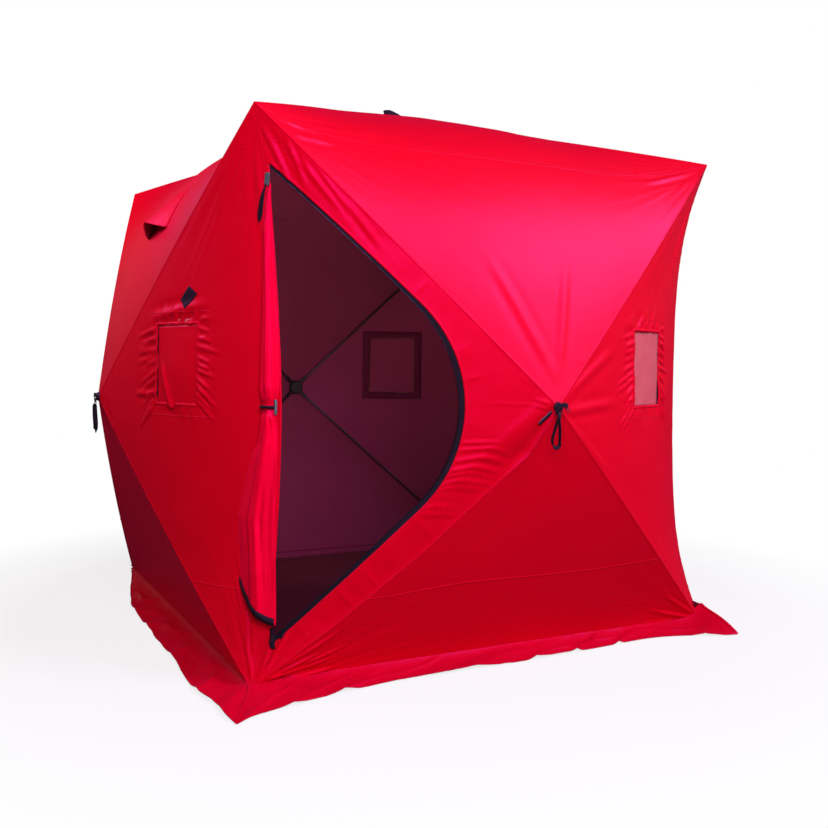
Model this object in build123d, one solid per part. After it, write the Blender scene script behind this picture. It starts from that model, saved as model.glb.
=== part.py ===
"""Pop-up hub shelter for ice fishing: a cloth cube held out by five hubs and twenty rods.

Millimetres, +Z up. The origin is on the ground under the middle of the hut, and the wall
with the doorway faces -Y. Each face of the cube has a hub at its middle, pushed outwards,
and four rods run from it to the four corners of that face. The cloth is pulled tight over
the rods, so every seam between two faces is drawn inwards between its two corners.
"""
import os
from math import acos, atan2, copysign, cos, hypot, sin

from build123d import *

os.makedirs("parts", exist_ok=True)

# ------------------------------------------------------------------ driving sizes
BASE_WIDTH = 1800            # between the ground corners
TOP_WIDTH = 1776             # between the top corners
CORNER_HEIGHT = 1750         # ground to a top corner
WALL_HUB_REACH = 1195        # middle of the hut to a wall hub
WALL_HUB_HEIGHT = 855
ROOF_HUB_HEIGHT = 1995
CORNER_SEAM_DIP = 115        # how far an upright corner seam is drawn in at its middle
ROOF_SEAM_DIP = 85           # the same for the seam between a wall and the roof
CLOTH = 3                    # coated cloth with its seams and lining
SEAT = 0.3                   # gap between pieces that lie on each other

SKIRT_WIDTH = 150
SKIRT_THICKNESS = 4

ROD_DIAMETER = 11
ROD_GAP = 0.3                # between a rod and the bore that it is pushed into
ROD_DEPTH_HUB = 14           # rod axis behind the point of the cloth at a hub
CORNER_DEPTH = 17.5          # middle of a corner socket behind each face of the cloth
GROUND_SOCKET_HEIGHT = 16    # middle of a ground corner's socket

HUB_RADIUS = 36
HUB_BACK = 42                # back of the hub behind the point of the cloth
HUB_SOCKET_LENGTH = 78       # from the hub's axis to the mouth of a socket
HUB_BOLT_RADIUS = 6
HUB_HOLE_RADIUS = 8          # hole in the cloth for the bolt
HUB_CAP_RADIUS = 27
HUB_CAP_HEIGHT = 8
SOCKET_RADIUS = 9

CORNER_SOCKET_RADIUS = 8.5
CORNER_SOCKET_BACK = 7       # back of each tube behind the middle of the corner socket
CORNER_SOCKET_LENGTH = 45
ROD_START_AT_CORNER = 10     # end of a rod, from the middle of the corner socket
ROD_START_AT_HUB = 22        # the other end, from the hub's axis

DOOR_ARC_RADIUS = 445        # round side of the doorway, nearest the hub
DOOR_HUB_MARGIN = 289        # hub to the round side of the doorway
DOOR_SEAM_MARGIN = 28        # corner seam to the doorway's side along it, at its middle
DOOR_TOP_INSET = 56          # top corner to the doorway's top end, across
DOOR_TOP_MARGIN = 111.2      # and down from the rod over it
DOOR_FOOT_INSET = 68         # ground corner to the doorway's foot, across
DOOR_FOOT_MARGIN = 63.1      # and up from the rod under it
ZIP_WIDTH = 34
ZIP_THICKNESS = 2.5

WINDOW_WIDTH = 180
WINDOW_HEIGHT = 255
WINDOW_OUT = 496             # middle of a window from the middle of its wall
WINDOW_MIDDLE_HEIGHT = 977
PANE_MARGIN = 22             # the pane reaches past the hole by this much
PANE_THICKNESS = 1.5
BAND_WIDTH = 24              # fastening band round a pane
BAND_THICKNESS = 2
COVER_THICKNESS = 1.5        # cloth that closes the left window from inside

FLAP_TIE_SHARE = 0.512       # where the strap goes round the tied-back door, down the corner seam
FLAP_TIE_HALF_WIDTH = 20
FLAP_TIE_HALF_DEPTH = 13
TIE_WIDTH = 22
TIE_THICKNESS = 2
FLAP_GAP = TIE_THICKNESS + 3 * SEAT
TOGGLE_RADIUS = 5
TOGGLE_LENGTH = 46

WEBBING = 1.8                # thickness of webbing and patches
STRAP_WIDTH = 15
STRAP_LENGTH = 140           # pull strap of a wall hub
ROOF_STRAP_LENGTH = 80
ROOF_STRAP_LEAN = 18         # degrees down from the bail, on to the cloth
BAIL_RADIUS = 2.2            # bar that holds a pull strap
BAIL_HALF_WIDTH = 11
BAIL_REACH = 31              # bar from the hub's axis
BAIL_HEIGHT = 6

PATCH_WIDTH = 80             # diamond patch over the left window
PATCH_HEIGHT = 75
PATCH_SHIFT = 59             # from the middle of the window, towards the corner
PATCH_LIFT = 215

SLIDER_DROP = 45             # middle of the slider below the doorway's top end
SLIDER_WIDTH = 16
SLIDER_LENGTH = 40
SLIDER_THICKNESS = 7
PULL_TAB_WIDTH = 24
PULL_TAB_LENGTH = 95
PULL_TAB_SHARE = 0.145       # top of the tab, down the corner seam
PULL_TAB_INSET = 10          # and from the seam on to the left wall
PULL_TAB_TURN = 12           # degrees that it hangs away from the seam

ANCHOR_STRAP_WIDTH = 24      # stands out from the seam
ANCHOR_STRAP_SPAN = (0.925, 0.988)  # its ends, as shares of the corner seam from the top

# the vent hood's point, near foot, far foot and lip: across the wall and below the top corners
VENT_PLACES = ((150, 125), (250, 295), (10, 313), (130, 280))
VENT_STANDOFF = 65           # lip of a vent hood from the cloth
VENT_WALL = 2.5

base_half = BASE_WIDTH / 2
top_half = TOP_WIDTH / 2
rod_radius = ROD_DIAMETER / 2
SIDES = ("front", "right", "back", "left")


# ------------------------------------------------------------------ points of the cube
def top_corner(depth=0):
    """The front left top corner, or the point that lies depth inside it."""
    return Vector(-top_half + depth, -top_half + depth, CORNER_HEIGHT - depth)


def ground_corner(depth=0):
    """The front left corner on the ground."""
    return Vector(-base_half + depth, -base_half + depth, 0)


def wall_hub(depth=0):
    """The point of the front wall, where its four rods meet."""
    return Vector(0, -WALL_HUB_REACH + depth, WALL_HUB_HEIGHT)


def roof_hub(depth=0):
    """The point of the roof."""
    return Vector(0, 0, ROOF_HUB_HEIGHT - depth)


def turned(shape, quarter):
    """A point or a shape turned about the middle of the hut by quarters of a turn."""
    return shape.rotate(Axis.Z, 90 * quarter)


# ------------------------------------------------------------------ cloth
def saddle_net(corners, dip):
    """Control points of a saddle whose first-to-third seam is drawn in by dip."""
    a, b, c, d = corners
    seam_middle = (a + c) / 2
    inward = ((b + d) / 2 - seam_middle).normalized()
    edge_sum = (a + b + c + d) * (1 / 16 + 1 / 8)
    pull = (seam_middle + inward * dip - edge_sum) * 4
    return [
        [a, (a + b) / 2, b],
        [(a + d) / 2, pull, (b + c) / 2],
        [d, (c + d) / 2, c],
    ]


def on_seam(net, share):
    """The point of the first-to-third seam at a share of its length."""
    weights = ((1 - share) ** 2, 2 * share * (1 - share), share**2)
    point = Vector(0, 0, 0)
    for i in range(3):
        for j in range(3):
            point += net[i][j] * (weights[i] * weights[j])
    return point


def joined(outer, inner, outer_corners, inner_corners):
    """The solid between two faces that have matching corners."""
    count = len(outer_corners)
    faces = [outer, inner]
    for i in range(count):
        j = (i + 1) % count
        outer_edge = Edge.make_line(outer_corners[i], outer_corners[j])
        inner_edge = Edge.make_line(inner_corners[i], inner_corners[j])
        faces.append(Face.make_surface_from_curves(outer_edge, inner_edge))
    return Solid(Shell(faces))


def corner_points(depth):
    """Corners of the cloth round the front left corner."""
    return [top_corner(depth), wall_hub(depth), ground_corner(depth), turned(wall_hub(depth), 3)]


def roof_edge_points(depth):
    """Corners of the cloth over the top edge of the front wall."""
    return [top_corner(depth), wall_hub(depth), turned(top_corner(depth), 1), roof_hub(depth)]


def lower_points(depth):
    """Corners of the flat cloth under the front hub."""
    return [ground_corner(depth), wall_hub(depth), turned(ground_corner(depth), 1)]


def saddle_layer(points, dip, outside, inside):
    """A saddle of cloth from the depth outside to the depth inside."""
    outer, inner = points(outside), points(inside)
    outer_face = Face.make_bezier_surface(saddle_net(outer, dip))
    inner_face = Face.make_bezier_surface(saddle_net(inner, dip))
    return joined(outer_face, inner_face, outer, inner)


def flat_layer(points, outside, inside):
    """Flat cloth from the depth outside to the depth inside."""
    outer, inner = points(outside), points(inside)
    outer_face = Face(Wire.make_polygon(outer))
    inner_face = Face(Wire.make_polygon(inner))
    return joined(outer_face, inner_face, outer, inner)


def seam_plane(points):
    """The plane that holds the seam between the first and third of four corners."""
    a, b, c, d = points(0)
    across = (c - a).cross((b + d) / 2 - (a + c) / 2)
    return Plane(origin=a, x_dir=c - a, z_dir=across)


def side_panel(sign, outside, inside):
    """Cloth of the front wall beside its hub: sign -1 is left and +1 is right."""
    corner = saddle_layer(corner_points, CORNER_SEAM_DIP, outside, inside)
    plane = seam_plane(corner_points)
    pieces = [corner.split(plane, keep=keep) for keep in (Keep.TOP, Keep.BOTTOM)]
    front, left = sorted(pieces, key=lambda piece: piece.center().Y)
    return front if sign < 0 else turned(left, 1)


def roof_edge_panels():
    """The front wall's upper panel and the roof panel behind it."""
    edge = saddle_layer(roof_edge_points, ROOF_SEAM_DIP, 0, CLOTH)
    plane = seam_plane(roof_edge_points)
    pieces = [edge.split(plane, keep=keep) for keep in (Keep.TOP, Keep.BOTTOM)]
    return sorted(pieces, key=lambda piece: piece.center().Z)


def on_cloth(points, dip, x, z, depth=0):
    """The point of a saddle of the front wall at a place seen from the front."""
    face = Face.make_bezier_surface(saddle_net(points(depth), dip))
    sight = Axis((x, -2 * WALL_HUB_REACH, z), (0, 1, 0))
    hits = [hit for hit, _ in face.find_intersection_points(sight)]
    return min(hits, key=lambda hit: hit.Y)


def bolt_hole(centre, outward):
    """The hole in the cloth for a hub's bolt."""
    start = centre - outward * HUB_BACK
    return Solid.make_cylinder(HUB_HOLE_RADIUS, 2 * HUB_BACK, Plane(origin=start, z_dir=outward))


front_out = Vector(0, -1, 0)
left_out = Vector(-1, 0, 0)
up = Vector(0, 0, 1)
wall_hole = bolt_hole(wall_hub(), front_out)
front_left = side_panel(-1, 0, CLOTH) - wall_hole
front_right = side_panel(1, 0, CLOTH) - wall_hole
front_upper, front_roof = roof_edge_panels()
front_upper -= wall_hole
front_roof -= bolt_hole(roof_hub(), up)
front_lower = flat_layer(lower_points, 0, CLOTH) - wall_hole


# ------------------------------------------------------------------ doorway
def door_end(inset, half, corner_height, margin):
    """An end of the doorway: inset from a corner seam's end, and margin from the rod to that corner."""
    x = inset - half
    rod_height = WALL_HUB_HEIGHT + (corner_height - WALL_HUB_HEIGHT) * -x / half
    return x, rod_height + copysign(margin, WALL_HUB_HEIGHT - corner_height)


def door_curve(grow=0):
    """Points along the curved side of the doorway from its top to its foot, seen from the front,
    and the directions square to its two straight runs."""
    middle_x = -DOOR_HUB_MARGIN - DOOR_ARC_RADIUS
    top = door_end(DOOR_TOP_INSET, top_half, CORNER_HEIGHT, DOOR_TOP_MARGIN)
    foot = door_end(DOOR_FOOT_INSET, base_half, 0, DOOR_FOOT_MARGIN)
    points, squares = [], []
    for way, (x, z) in ((-1, top), (1, foot)):
        across, rise = x - middle_x, z - WALL_HUB_HEIGHT
        turn = atan2(rise, across) + way * acos(DOOR_ARC_RADIUS / hypot(across, rise))
        square = (cos(turn), sin(turn))
        reach = DOOR_ARC_RADIUS + grow
        end = (x + grow * square[0], z + grow * square[1])
        points.append((end, (middle_x + reach * square[0], WALL_HUB_HEIGHT + reach * square[1])))
        squares.append(Vector(square[0], 0, square[1]))
    (top_end, top_turn), (foot_end, foot_turn) = points
    return (top_end, top_turn, (-DOOR_HUB_MARGIN + grow, WALL_HUB_HEIGHT), foot_turn, foot_end), squares


def door_sketch():
    """The doorway seen from the front: a gently curved side at the corner, a round side by the hub."""
    (top_end, top_turn, arc_point, foot_turn, foot_end), _ = door_curve()
    seam_x = on_seam(saddle_net(corner_points(0), CORNER_SEAM_DIP), 0.5).X
    with BuildSketch(Plane.XZ) as sketch:
        with BuildLine():
            Line(top_end, top_turn)
            ThreePointArc(top_turn, arc_point, foot_turn)
            Line(foot_turn, foot_end)
            ThreePointArc(foot_end, (seam_x + DOOR_SEAM_MARGIN, WALL_HUB_HEIGHT), top_end)
        make_face()
    return sketch.sketch


def zip_sketch():
    """The zip tape along the curved side of the doorway."""
    (top_end, top_turn, arc_point, foot_turn, foot_end), _ = door_curve()
    (far_top_end, far_top_turn, far_arc_point, far_foot_turn, far_foot_end), _ = door_curve(ZIP_WIDTH)
    with BuildSketch(Plane.XZ) as sketch:
        with BuildLine():
            Line(top_end, top_turn)
            ThreePointArc(top_turn, arc_point, foot_turn)
            Line(foot_turn, foot_end)
            Line(foot_end, far_foot_end)
            Line(far_foot_end, far_foot_turn)
            ThreePointArc(far_foot_turn, far_arc_point, far_top_turn)
            Line(far_top_turn, far_top_end)
            Line(far_top_end, top_end)
        make_face()
    return sketch.sketch


def through_front(sketch):
    """A prism of a sketch through the front wall only."""
    return extrude(sketch, amount=WALL_HUB_REACH + HUB_BACK)


def split_round_door(panel):
    """The cloth over, under and on both sides of the doorway."""
    (top_end, *_, foot_end), (over_square, under_square) = door_curve()
    over_plane = Plane(origin=(top_end[0], 0, top_end[1]), x_dir=(0, 1, 0), z_dir=over_square)
    under_plane = Plane(origin=(foot_end[0], 0, foot_end[1]), x_dir=(0, 1, 0), z_dir=under_square)
    over = panel.split(over_plane, keep=Keep.TOP)
    rest = panel.split(over_plane, keep=Keep.BOTTOM)
    under = rest.split(under_plane, keep=Keep.TOP)
    beside = rest.split(under_plane, keep=Keep.BOTTOM)
    seam_side, hub_side = sorted(beside, key=lambda piece: piece.center().X)
    return over, under, seam_side, hub_side


door_panel = front_left - through_front(door_sketch())
over_door, under_door, door_seam_side, door_hub_side = split_round_door(door_panel)
door_zip = side_panel(-1, -SEAT - ZIP_THICKNESS, -SEAT) & through_front(zip_sketch())


# ------------------------------------------------------------------ windows
def window_prism(sign, margin):
    """A prism through the front wall: the window hole and a margin round it."""
    width, height = WINDOW_WIDTH + 2 * margin, WINDOW_HEIGHT + 2 * margin
    with BuildSketch(Plane.XZ) as sketch:
        with Locations((sign * WINDOW_OUT, WINDOW_MIDDLE_HEIGHT)):
            Rectangle(width, height)
    return through_front(sketch.sketch)


def window_pane(sign):
    """The clear sheet behind the hole."""
    depth = CLOTH + SEAT
    return side_panel(sign, depth, depth + PANE_THICKNESS) & window_prism(sign, PANE_MARGIN)


def window_band(sign):
    """The fastening band behind the edge of the pane."""
    depth = CLOTH + PANE_THICKNESS + 2 * SEAT
    frame = window_prism(sign, PANE_MARGIN) - window_prism(sign, PANE_MARGIN - BAND_WIDTH)
    return side_panel(sign, depth, depth + BAND_THICKNESS) & frame


def window_cover(sign):
    """The cloth that closes a window from inside, over its band."""
    depth = CLOTH + PANE_THICKNESS + BAND_THICKNESS + 3 * SEAT
    return side_panel(sign, depth, depth + COVER_THICKNESS) & window_prism(sign, PANE_MARGIN)


WINDOW_SIDES = {"front": 1, "right": 1, "back": -1, "left": 1}


# ------------------------------------------------------------------ skirt
def skirt():
    """The flap along the foot of the front wall, mitred at both ends."""
    near = base_half + SEAT
    lean = (WALL_HUB_REACH - base_half) / WALL_HUB_HEIGHT * SKIRT_THICKNESS
    far = base_half + SKIRT_WIDTH
    with BuildSketch(Plane.YZ) as section:
        Polygon((-near, 0), (-near - lean, SKIRT_THICKNESS), (-far, SKIRT_THICKNESS), (-far, 0), align=None)
    flap = extrude(section.sketch, amount=far, both=True)
    with BuildSketch(Plane.XY) as outline:
        Polygon((0, 0), (-2 * far, -2 * far), (2 * far, -2 * far), align=None)
    return flap & extrude(outline.sketch, amount=SKIRT_THICKNESS)


# ------------------------------------------------------------------ hubs, rods and corner sockets
def top_socket_middle():
    """Where the rods of the front left top corner meet."""
    return top_corner(CORNER_DEPTH)


def ground_socket_middle():
    """Where the rods of the front left ground corner meet."""
    return ground_corner(CORNER_DEPTH) + up * GROUND_SOCKET_HEIGHT


def wall_ends():
    """Where the front wall's four rods end."""
    left_ends = [top_socket_middle(), ground_socket_middle()]
    return left_ends + [turned(end, 1) for end in left_ends]


def roof_ends():
    """Where the roof's four rods end."""
    return [turned(top_socket_middle(), quarter) for quarter in range(4)]


def along(start, direction, first, last, radius):
    """A round bar on a line from start, between two distances."""
    plane = Plane(origin=start + direction * first, z_dir=direction)
    return Solid.make_cylinder(radius, last - first, plane)


def hub_axes(apex, outward, ends):
    """Start and direction of each rod of a hub."""
    seat = apex - outward * ROD_DEPTH_HUB
    return [(seat, (end - seat).normalized(), (end - seat).length) for end in ends]


def hub(apex, outward, hang, ends):
    """A moulded hub: domed body and sockets behind the cloth, bolt, cap and strap bail in front."""
    falls = []
    for end in ends:
        fall = (apex - end).dot(outward) - CORNER_DEPTH
        falls.append(fall / (end - apex + outward * fall).length)
    cap_slope = min(falls)
    body_slope = 0.4
    top = CLOTH + 2 * SEAT
    with BuildSketch(Plane.XZ) as section:
        Polygon(
            (0, -top), (HUB_RADIUS, -top - body_slope * HUB_RADIUS),
            (HUB_RADIUS, 6 - HUB_BACK), (HUB_RADIUS - 6, -HUB_BACK), (0, -HUB_BACK),
            align=None,
        )
        Rectangle(HUB_BOLT_RADIUS, HUB_BACK, align=(Align.MIN, Align.MAX))
        Polygon(
            (0, SEAT), (HUB_CAP_RADIUS, SEAT - cap_slope * HUB_CAP_RADIUS),
            (HUB_CAP_RADIUS, 3 - cap_slope * HUB_CAP_RADIUS),
            (HUB_CAP_RADIUS * 0.7, HUB_CAP_HEIGHT * 0.8), (0, HUB_CAP_HEIGHT),
            align=None,
        )
        Rectangle(HUB_BOLT_RADIUS, HUB_CAP_HEIGHT / 2, align=(Align.MIN, Align.MIN))
    body = revolve(section.sketch, Axis.Z)
    body = Plane(origin=apex, z_dir=outward) * body
    axes = hub_axes(apex, outward, ends)
    for start, direction, _ in axes:
        body += along(start, direction, ROD_START_AT_HUB, HUB_SOCKET_LENGTH, SOCKET_RADIUS)
    for start, direction, _ in axes:
        body -= along(
            start, direction, ROD_START_AT_HUB - ROD_GAP, HUB_SOCKET_LENGTH + 1, rod_radius + ROD_GAP
        )
    bail_start = apex + outward * BAIL_HEIGHT
    sideways = outward.cross(hang)
    for way in (-1, 1):
        leg_start = bail_start + sideways * (way * BAIL_HALF_WIDTH)
        body += along(leg_start, hang, HUB_BOLT_RADIUS, BAIL_REACH, 0.9 * BAIL_RADIUS)
    bar_start = bail_start + hang * BAIL_REACH
    bar_half = BAIL_HALF_WIDTH + BAIL_RADIUS
    body += along(bar_start, sideways, -bar_half, bar_half, BAIL_RADIUS)
    return body


def pull_strap(apex, outward, hang, length, lean=0):
    """A loop of webbing round a hub's bail; lean turns it towards the cloth, in degrees."""
    inner = BAIL_RADIUS + 2 * SEAT
    outer = inner + WEBBING
    bar = apex + outward * BAIL_HEIGHT + hang * BAIL_REACH
    sideways = outward.cross(hang)
    plane = Plane(origin=bar, x_dir=hang, z_dir=sideways)
    section = loop_face(outer, length) - loop_face(inner, length)
    band = extrude(section, amount=STRAP_WIDTH / 2, both=True)
    return plane * Rot(0, 0, lean) * band


def loop_face(radius, length):
    """A long face with round ends, from the origin along X."""
    return make_face([
        Line((0, radius), (length, radius)),
        ThreePointArc((length, radius), (length + radius, 0), (length, -radius)),
        Line((length, -radius), (0, -radius)),
        ThreePointArc((0, -radius), (-radius, 0), (0, radius)),
    ])


def rods(apex, outward, ends):
    """The four rods of a hub."""
    bars = []
    for start, direction, length in hub_axes(apex, outward, ends):
        bars.append(along(start, direction, ROD_START_AT_HUB, length - ROD_START_AT_CORNER, rod_radius))
    return Compound(children=bars)


def corner_socket(middle, seats):
    """A moulded piece in a corner of the cloth, with a tube for each rod that ends there."""
    directions = [(seat - middle).normalized() for seat in seats]
    tubes = [
        along(middle, direction, -CORNER_SOCKET_BACK, CORNER_SOCKET_LENGTH, CORNER_SOCKET_RADIUS)
        for direction in directions
    ]
    bores = [
        along(middle, direction, ROD_START_AT_CORNER - ROD_GAP, CORNER_SOCKET_LENGTH + 1, rod_radius + ROD_GAP)
        for direction in directions
    ]
    return tubes[0].fuse(*tubes[1:]).cut(*bores)


wall_seat = wall_hub() - front_out * ROD_DEPTH_HUB
roof_seat = roof_hub() - up * ROD_DEPTH_HUB
wall_hub_solid = hub(wall_hub(), front_out, -up, wall_ends())
wall_rods = rods(wall_hub(), front_out, wall_ends())
top_socket = corner_socket(top_socket_middle(), [wall_seat, turned(wall_seat, 3), roof_seat])
ground_socket = corner_socket(ground_socket_middle(), [wall_seat, turned(wall_seat, 3)])

# ------------------------------------------------------------------ tied-back door flap
# share of the seam from the top, half width, half depth, shift towards the left wall
FLAP_SECTIONS = (
    (0.14, 9, 6, -12),
    (0.26, 24, 12, -12),
    (0.40, 28, 16, -8),
    (0.47, 27, 16, -2),
    (FLAP_TIE_SHARE - 0.015, FLAP_TIE_HALF_WIDTH, FLAP_TIE_HALF_DEPTH, 0),
    (FLAP_TIE_SHARE + 0.015, FLAP_TIE_HALF_WIDTH, FLAP_TIE_HALF_DEPTH, 0),
    (0.60, 38, 18, 8),
    (0.74, 62, 26, 22),
    (0.84, 56, 24, 14),
    (0.905, 22, 12, -6),
)
corner_out = Vector(-1, -1, 0).normalized()
corner_along = Vector(-1, 1, 0).normalized()


def flap_section(share, half_width, half_depth, shift):
    """One level ellipse of the gathered cloth, against the corner seam."""
    seam = on_seam(saddle_net(corner_points(0), CORNER_SEAM_DIP), share)
    middle = seam + corner_out * (half_depth + FLAP_GAP) + corner_along * shift
    plane = Plane(origin=middle, x_dir=corner_along, z_dir=up)
    return plane * Ellipse(half_width, half_depth)


def door_flap():
    """The cloth of the door, gathered to the corner seam."""
    return loft([flap_section(*section) for section in FLAP_SECTIONS], ruled=True)


def tie_strap():
    """The strap round the gathered cloth."""
    seam = on_seam(saddle_net(corner_points(0), CORNER_SEAM_DIP), FLAP_TIE_SHARE)
    inner = (FLAP_TIE_HALF_WIDTH + SEAT, FLAP_TIE_HALF_DEPTH + SEAT)
    outer = (inner[0] + TIE_THICKNESS, inner[1] + TIE_THICKNESS)
    middle = seam + corner_out * (FLAP_TIE_HALF_DEPTH + FLAP_GAP)
    plane = Plane(origin=middle - up * TIE_WIDTH / 2, x_dir=corner_along, z_dir=up)
    ring = Ellipse(*outer) - Ellipse(*inner)
    return extrude(plane * ring, amount=TIE_WIDTH)


def tie_toggle():
    """The bar that closes the strap, on the doorway's side."""
    seam = on_seam(saddle_net(corner_points(0), CORNER_SEAM_DIP), FLAP_TIE_SHARE)
    reach = FLAP_TIE_HALF_WIDTH + TIE_THICKNESS + TOGGLE_RADIUS + 2 * SEAT
    middle = seam + corner_out * (FLAP_TIE_HALF_DEPTH + FLAP_GAP) - corner_along * reach
    return along(middle, up, -TOGGLE_LENGTH / 2, TOGGLE_LENGTH / 2, TOGGLE_RADIUS)


# ------------------------------------------------------------------ zip slider and pull tab
def zip_slider():
    """The slider, parked on the cloth between the doorway's top end and the seam."""
    (top_end, *_), _ = door_curve()
    across, height = top_end[0], top_end[1] - SLIDER_DROP
    places = ((across, height), (across, height - 20), (across + 20, height))
    middle, below, aside = (on_cloth(corner_points, CORNER_SEAM_DIP, x, z) for x, z in places)
    run = (below - middle).normalized()
    outward = run.cross(aside - middle).normalized()
    if outward.Y > 0:
        outward = -outward
    plane = Plane(origin=middle + outward * (SLIDER_THICKNESS / 2 + 3 * SEAT), x_dir=run, z_dir=outward)
    body = Box(SLIDER_LENGTH, SLIDER_WIDTH, SLIDER_THICKNESS)
    body = fillet(body.edges().filter_by(Axis.Z), SLIDER_WIDTH * 0.4)
    return plane * chamfer(body.faces().sort_by(Axis.Z)[-1].edges(), 2)


def pull_tab():
    """The teardrop tab that hangs from the slider over the corner seam, on the left wall."""
    half = PULL_TAB_WIDTH / 2
    low = half - PULL_TAB_LENGTH
    outline = [
        Line((-half / 3, 0), (-half, low)),
        ThreePointArc((-half, low), (0, -PULL_TAB_LENGTH), (half, low)),
        Line((half, low), (half / 3, 0)),
        Line((half / 3, 0), (-half / 3, 0)),
    ]
    seam = on_seam(saddle_net(corner_points(0), CORNER_SEAM_DIP), PULL_TAB_SHARE)
    place = Plane.XZ * Pos(-seam.X - PULL_TAB_INSET, seam.Z) * Rot(0, 0, -PULL_TAB_TURN)
    tab = side_panel(1, -SEAT - WEBBING, -SEAT) & through_front(place * make_face(outline))
    return turned(tab, 3)


# ------------------------------------------------------------------ patch, anchor strap and vents
def diamond_patch():
    """The sewn patch over the left window."""
    with BuildSketch(Plane.XZ) as sketch:
        with Locations((WINDOW_OUT + PATCH_SHIFT, WINDOW_MIDDLE_HEIGHT + PATCH_LIFT)):
            half_width, half_height = PATCH_WIDTH / 2, PATCH_HEIGHT / 2
            Polygon((half_width, 0), (0, half_height), (-half_width, 0), (0, -half_height), align=None)
    patch = side_panel(1, -SEAT - WEBBING, -SEAT) & through_front(sketch.sketch)
    return turned(patch, 3)


def anchor_strap():
    """The flat strap sewn into the seam at the far left ground corner."""
    net = saddle_net(corner_points(0), CORNER_SEAM_DIP)
    top, foot = (on_seam(net, share) for share in ANCHOR_STRAP_SPAN)
    run = (foot - top).normalized()
    outward = run.cross(corner_along).normalized()
    if outward.dot(corner_out) < 0:
        outward = -outward
    middle = (top + foot) / 2 + outward * (ANCHOR_STRAP_WIDTH / 2 + SEAT)
    strap = Box((foot - top).length, WEBBING, ANCHOR_STRAP_WIDTH)
    return turned(Plane(origin=middle, x_dir=run, z_dir=outward) * strap, 3)


def vent_hood():
    """A pointed hood of stiffened cloth on the front wall's upper panel, open below."""
    apex, near_foot, far_foot, lip = ((x, CORNER_HEIGHT - drop) for x, drop in VENT_PLACES)
    ends = [on_cloth(roof_edge_points, ROOF_SEAM_DIP, *place) for place in (apex, near_foot, far_foot)]
    lip_point = on_cloth(roof_edge_points, ROOF_SEAM_DIP, *lip) + front_out * VENT_STANDOFF
    sunk = front_out * -12
    outer = pyramid(ends[0] + sunk, ends[1] + sunk, ends[2] + sunk, lip_point)
    middle = (ends[0] + ends[1] + ends[2] + lip_point) / 4
    mouth = (ends[1] + ends[2] + lip_point) / 3
    slack = (mouth - ends[0]).normalized() * (3 * VENT_WALL)
    inner = outer.moved(Location(slack + front_out * -VENT_WALL))
    hood = outer - inner
    cloth = saddle_layer(roof_edge_points, ROOF_SEAM_DIP, -2 * SEAT, 60)
    return hood - cloth


def pyramid(a, b, c, d):
    """The solid with four flat faces between four points."""
    corners = ((a, b, c), (a, b, d), (b, c, d), (c, a, d))
    return Solid(Shell([Face(Wire.make_polygon(points)) for points in corners]))


# ------------------------------------------------------------------ files
def save(name, *shapes):
    """One file for a named piece of the hut."""
    solids = [solid for shape in shapes for solid in shape.solids()]
    export_step(Compound(children=solids), f"parts/{name}.step")


for quarter, side in enumerate(SIDES):
    window_sign = WINDOW_SIDES[side]
    hole = window_prism(window_sign, 0)
    left_panel = front_left - hole
    right_panel = front_right - hole
    if side == "front":
        save("front_wall_over_door", over_door)
        save("front_wall_under_door", under_door)
        save("front_wall_door_seam_side", door_seam_side)
        save("front_wall_door_hub_side", door_hub_side)
    else:
        save(f"{side}_wall_left", turned(left_panel, quarter))
    save(f"{side}_wall_right", turned(right_panel, quarter))
    save(f"{side}_wall_upper", turned(front_upper, quarter))
    save(f"{side}_wall_lower", turned(front_lower, quarter))
    save(f"roof_{side}", turned(front_roof, quarter))
    save(f"{side}_skirt", turned(skirt(), quarter))

save("wall_hubs", *[turned(wall_hub_solid, quarter) for quarter in range(4)])
save("roof_hub", hub(roof_hub(), up, left_out, roof_ends()))
roof_rods = rods(roof_hub(), up, roof_ends())
save("rods", *[turned(wall_rods, quarter) for quarter in range(4)], roof_rods)
save("top_corner_sockets", *[turned(top_socket, quarter) for quarter in range(4)])
save("ground_corner_sockets", *[turned(ground_socket, quarter) for quarter in range(4)])
window_turns = [(WINDOW_SIDES[side], quarter) for quarter, side in enumerate(SIDES)]
save("window_panes", *[turned(window_pane(sign), quarter) for sign, quarter in window_turns])
save("window_bands", *[turned(window_band(sign), quarter) for sign, quarter in window_turns])
save("door_zip", door_zip)
save("door_flap", door_flap())
save("door_tie_strap", tie_strap())
save("door_tie_toggle", tie_toggle())
save("door_zip_slider", zip_slider())
save("door_pull_tab", pull_tab())
save("window_covers", window_cover(1), turned(window_cover(1), 3))
save("diamond_patch", diamond_patch())
save("anchor_strap", anchor_strap())
save("vent_hoods", *[turned(vent_hood(), quarter) for quarter in (1, 3)])
wall_strap = pull_strap(wall_hub(), front_out, -up, STRAP_LENGTH)
roof_strap = pull_strap(roof_hub(), up, left_out, ROOF_STRAP_LENGTH, ROOF_STRAP_LEAN)
save("pull_straps", *[turned(wall_strap, quarter) for quarter in range(4)], roof_strap)
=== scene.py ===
"""Looks of a pop-up ice-fishing hut: taut cloth with its wrinkles and seams, tied-back door,
zip, windows, skirt, straps and the rods inside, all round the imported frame."""
from math import cos, pi, radians, sin

import bpy
import numpy as np
from mathutils import Matrix, Vector
from mathutils.geometry import delaunay_2d_cdt


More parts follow.
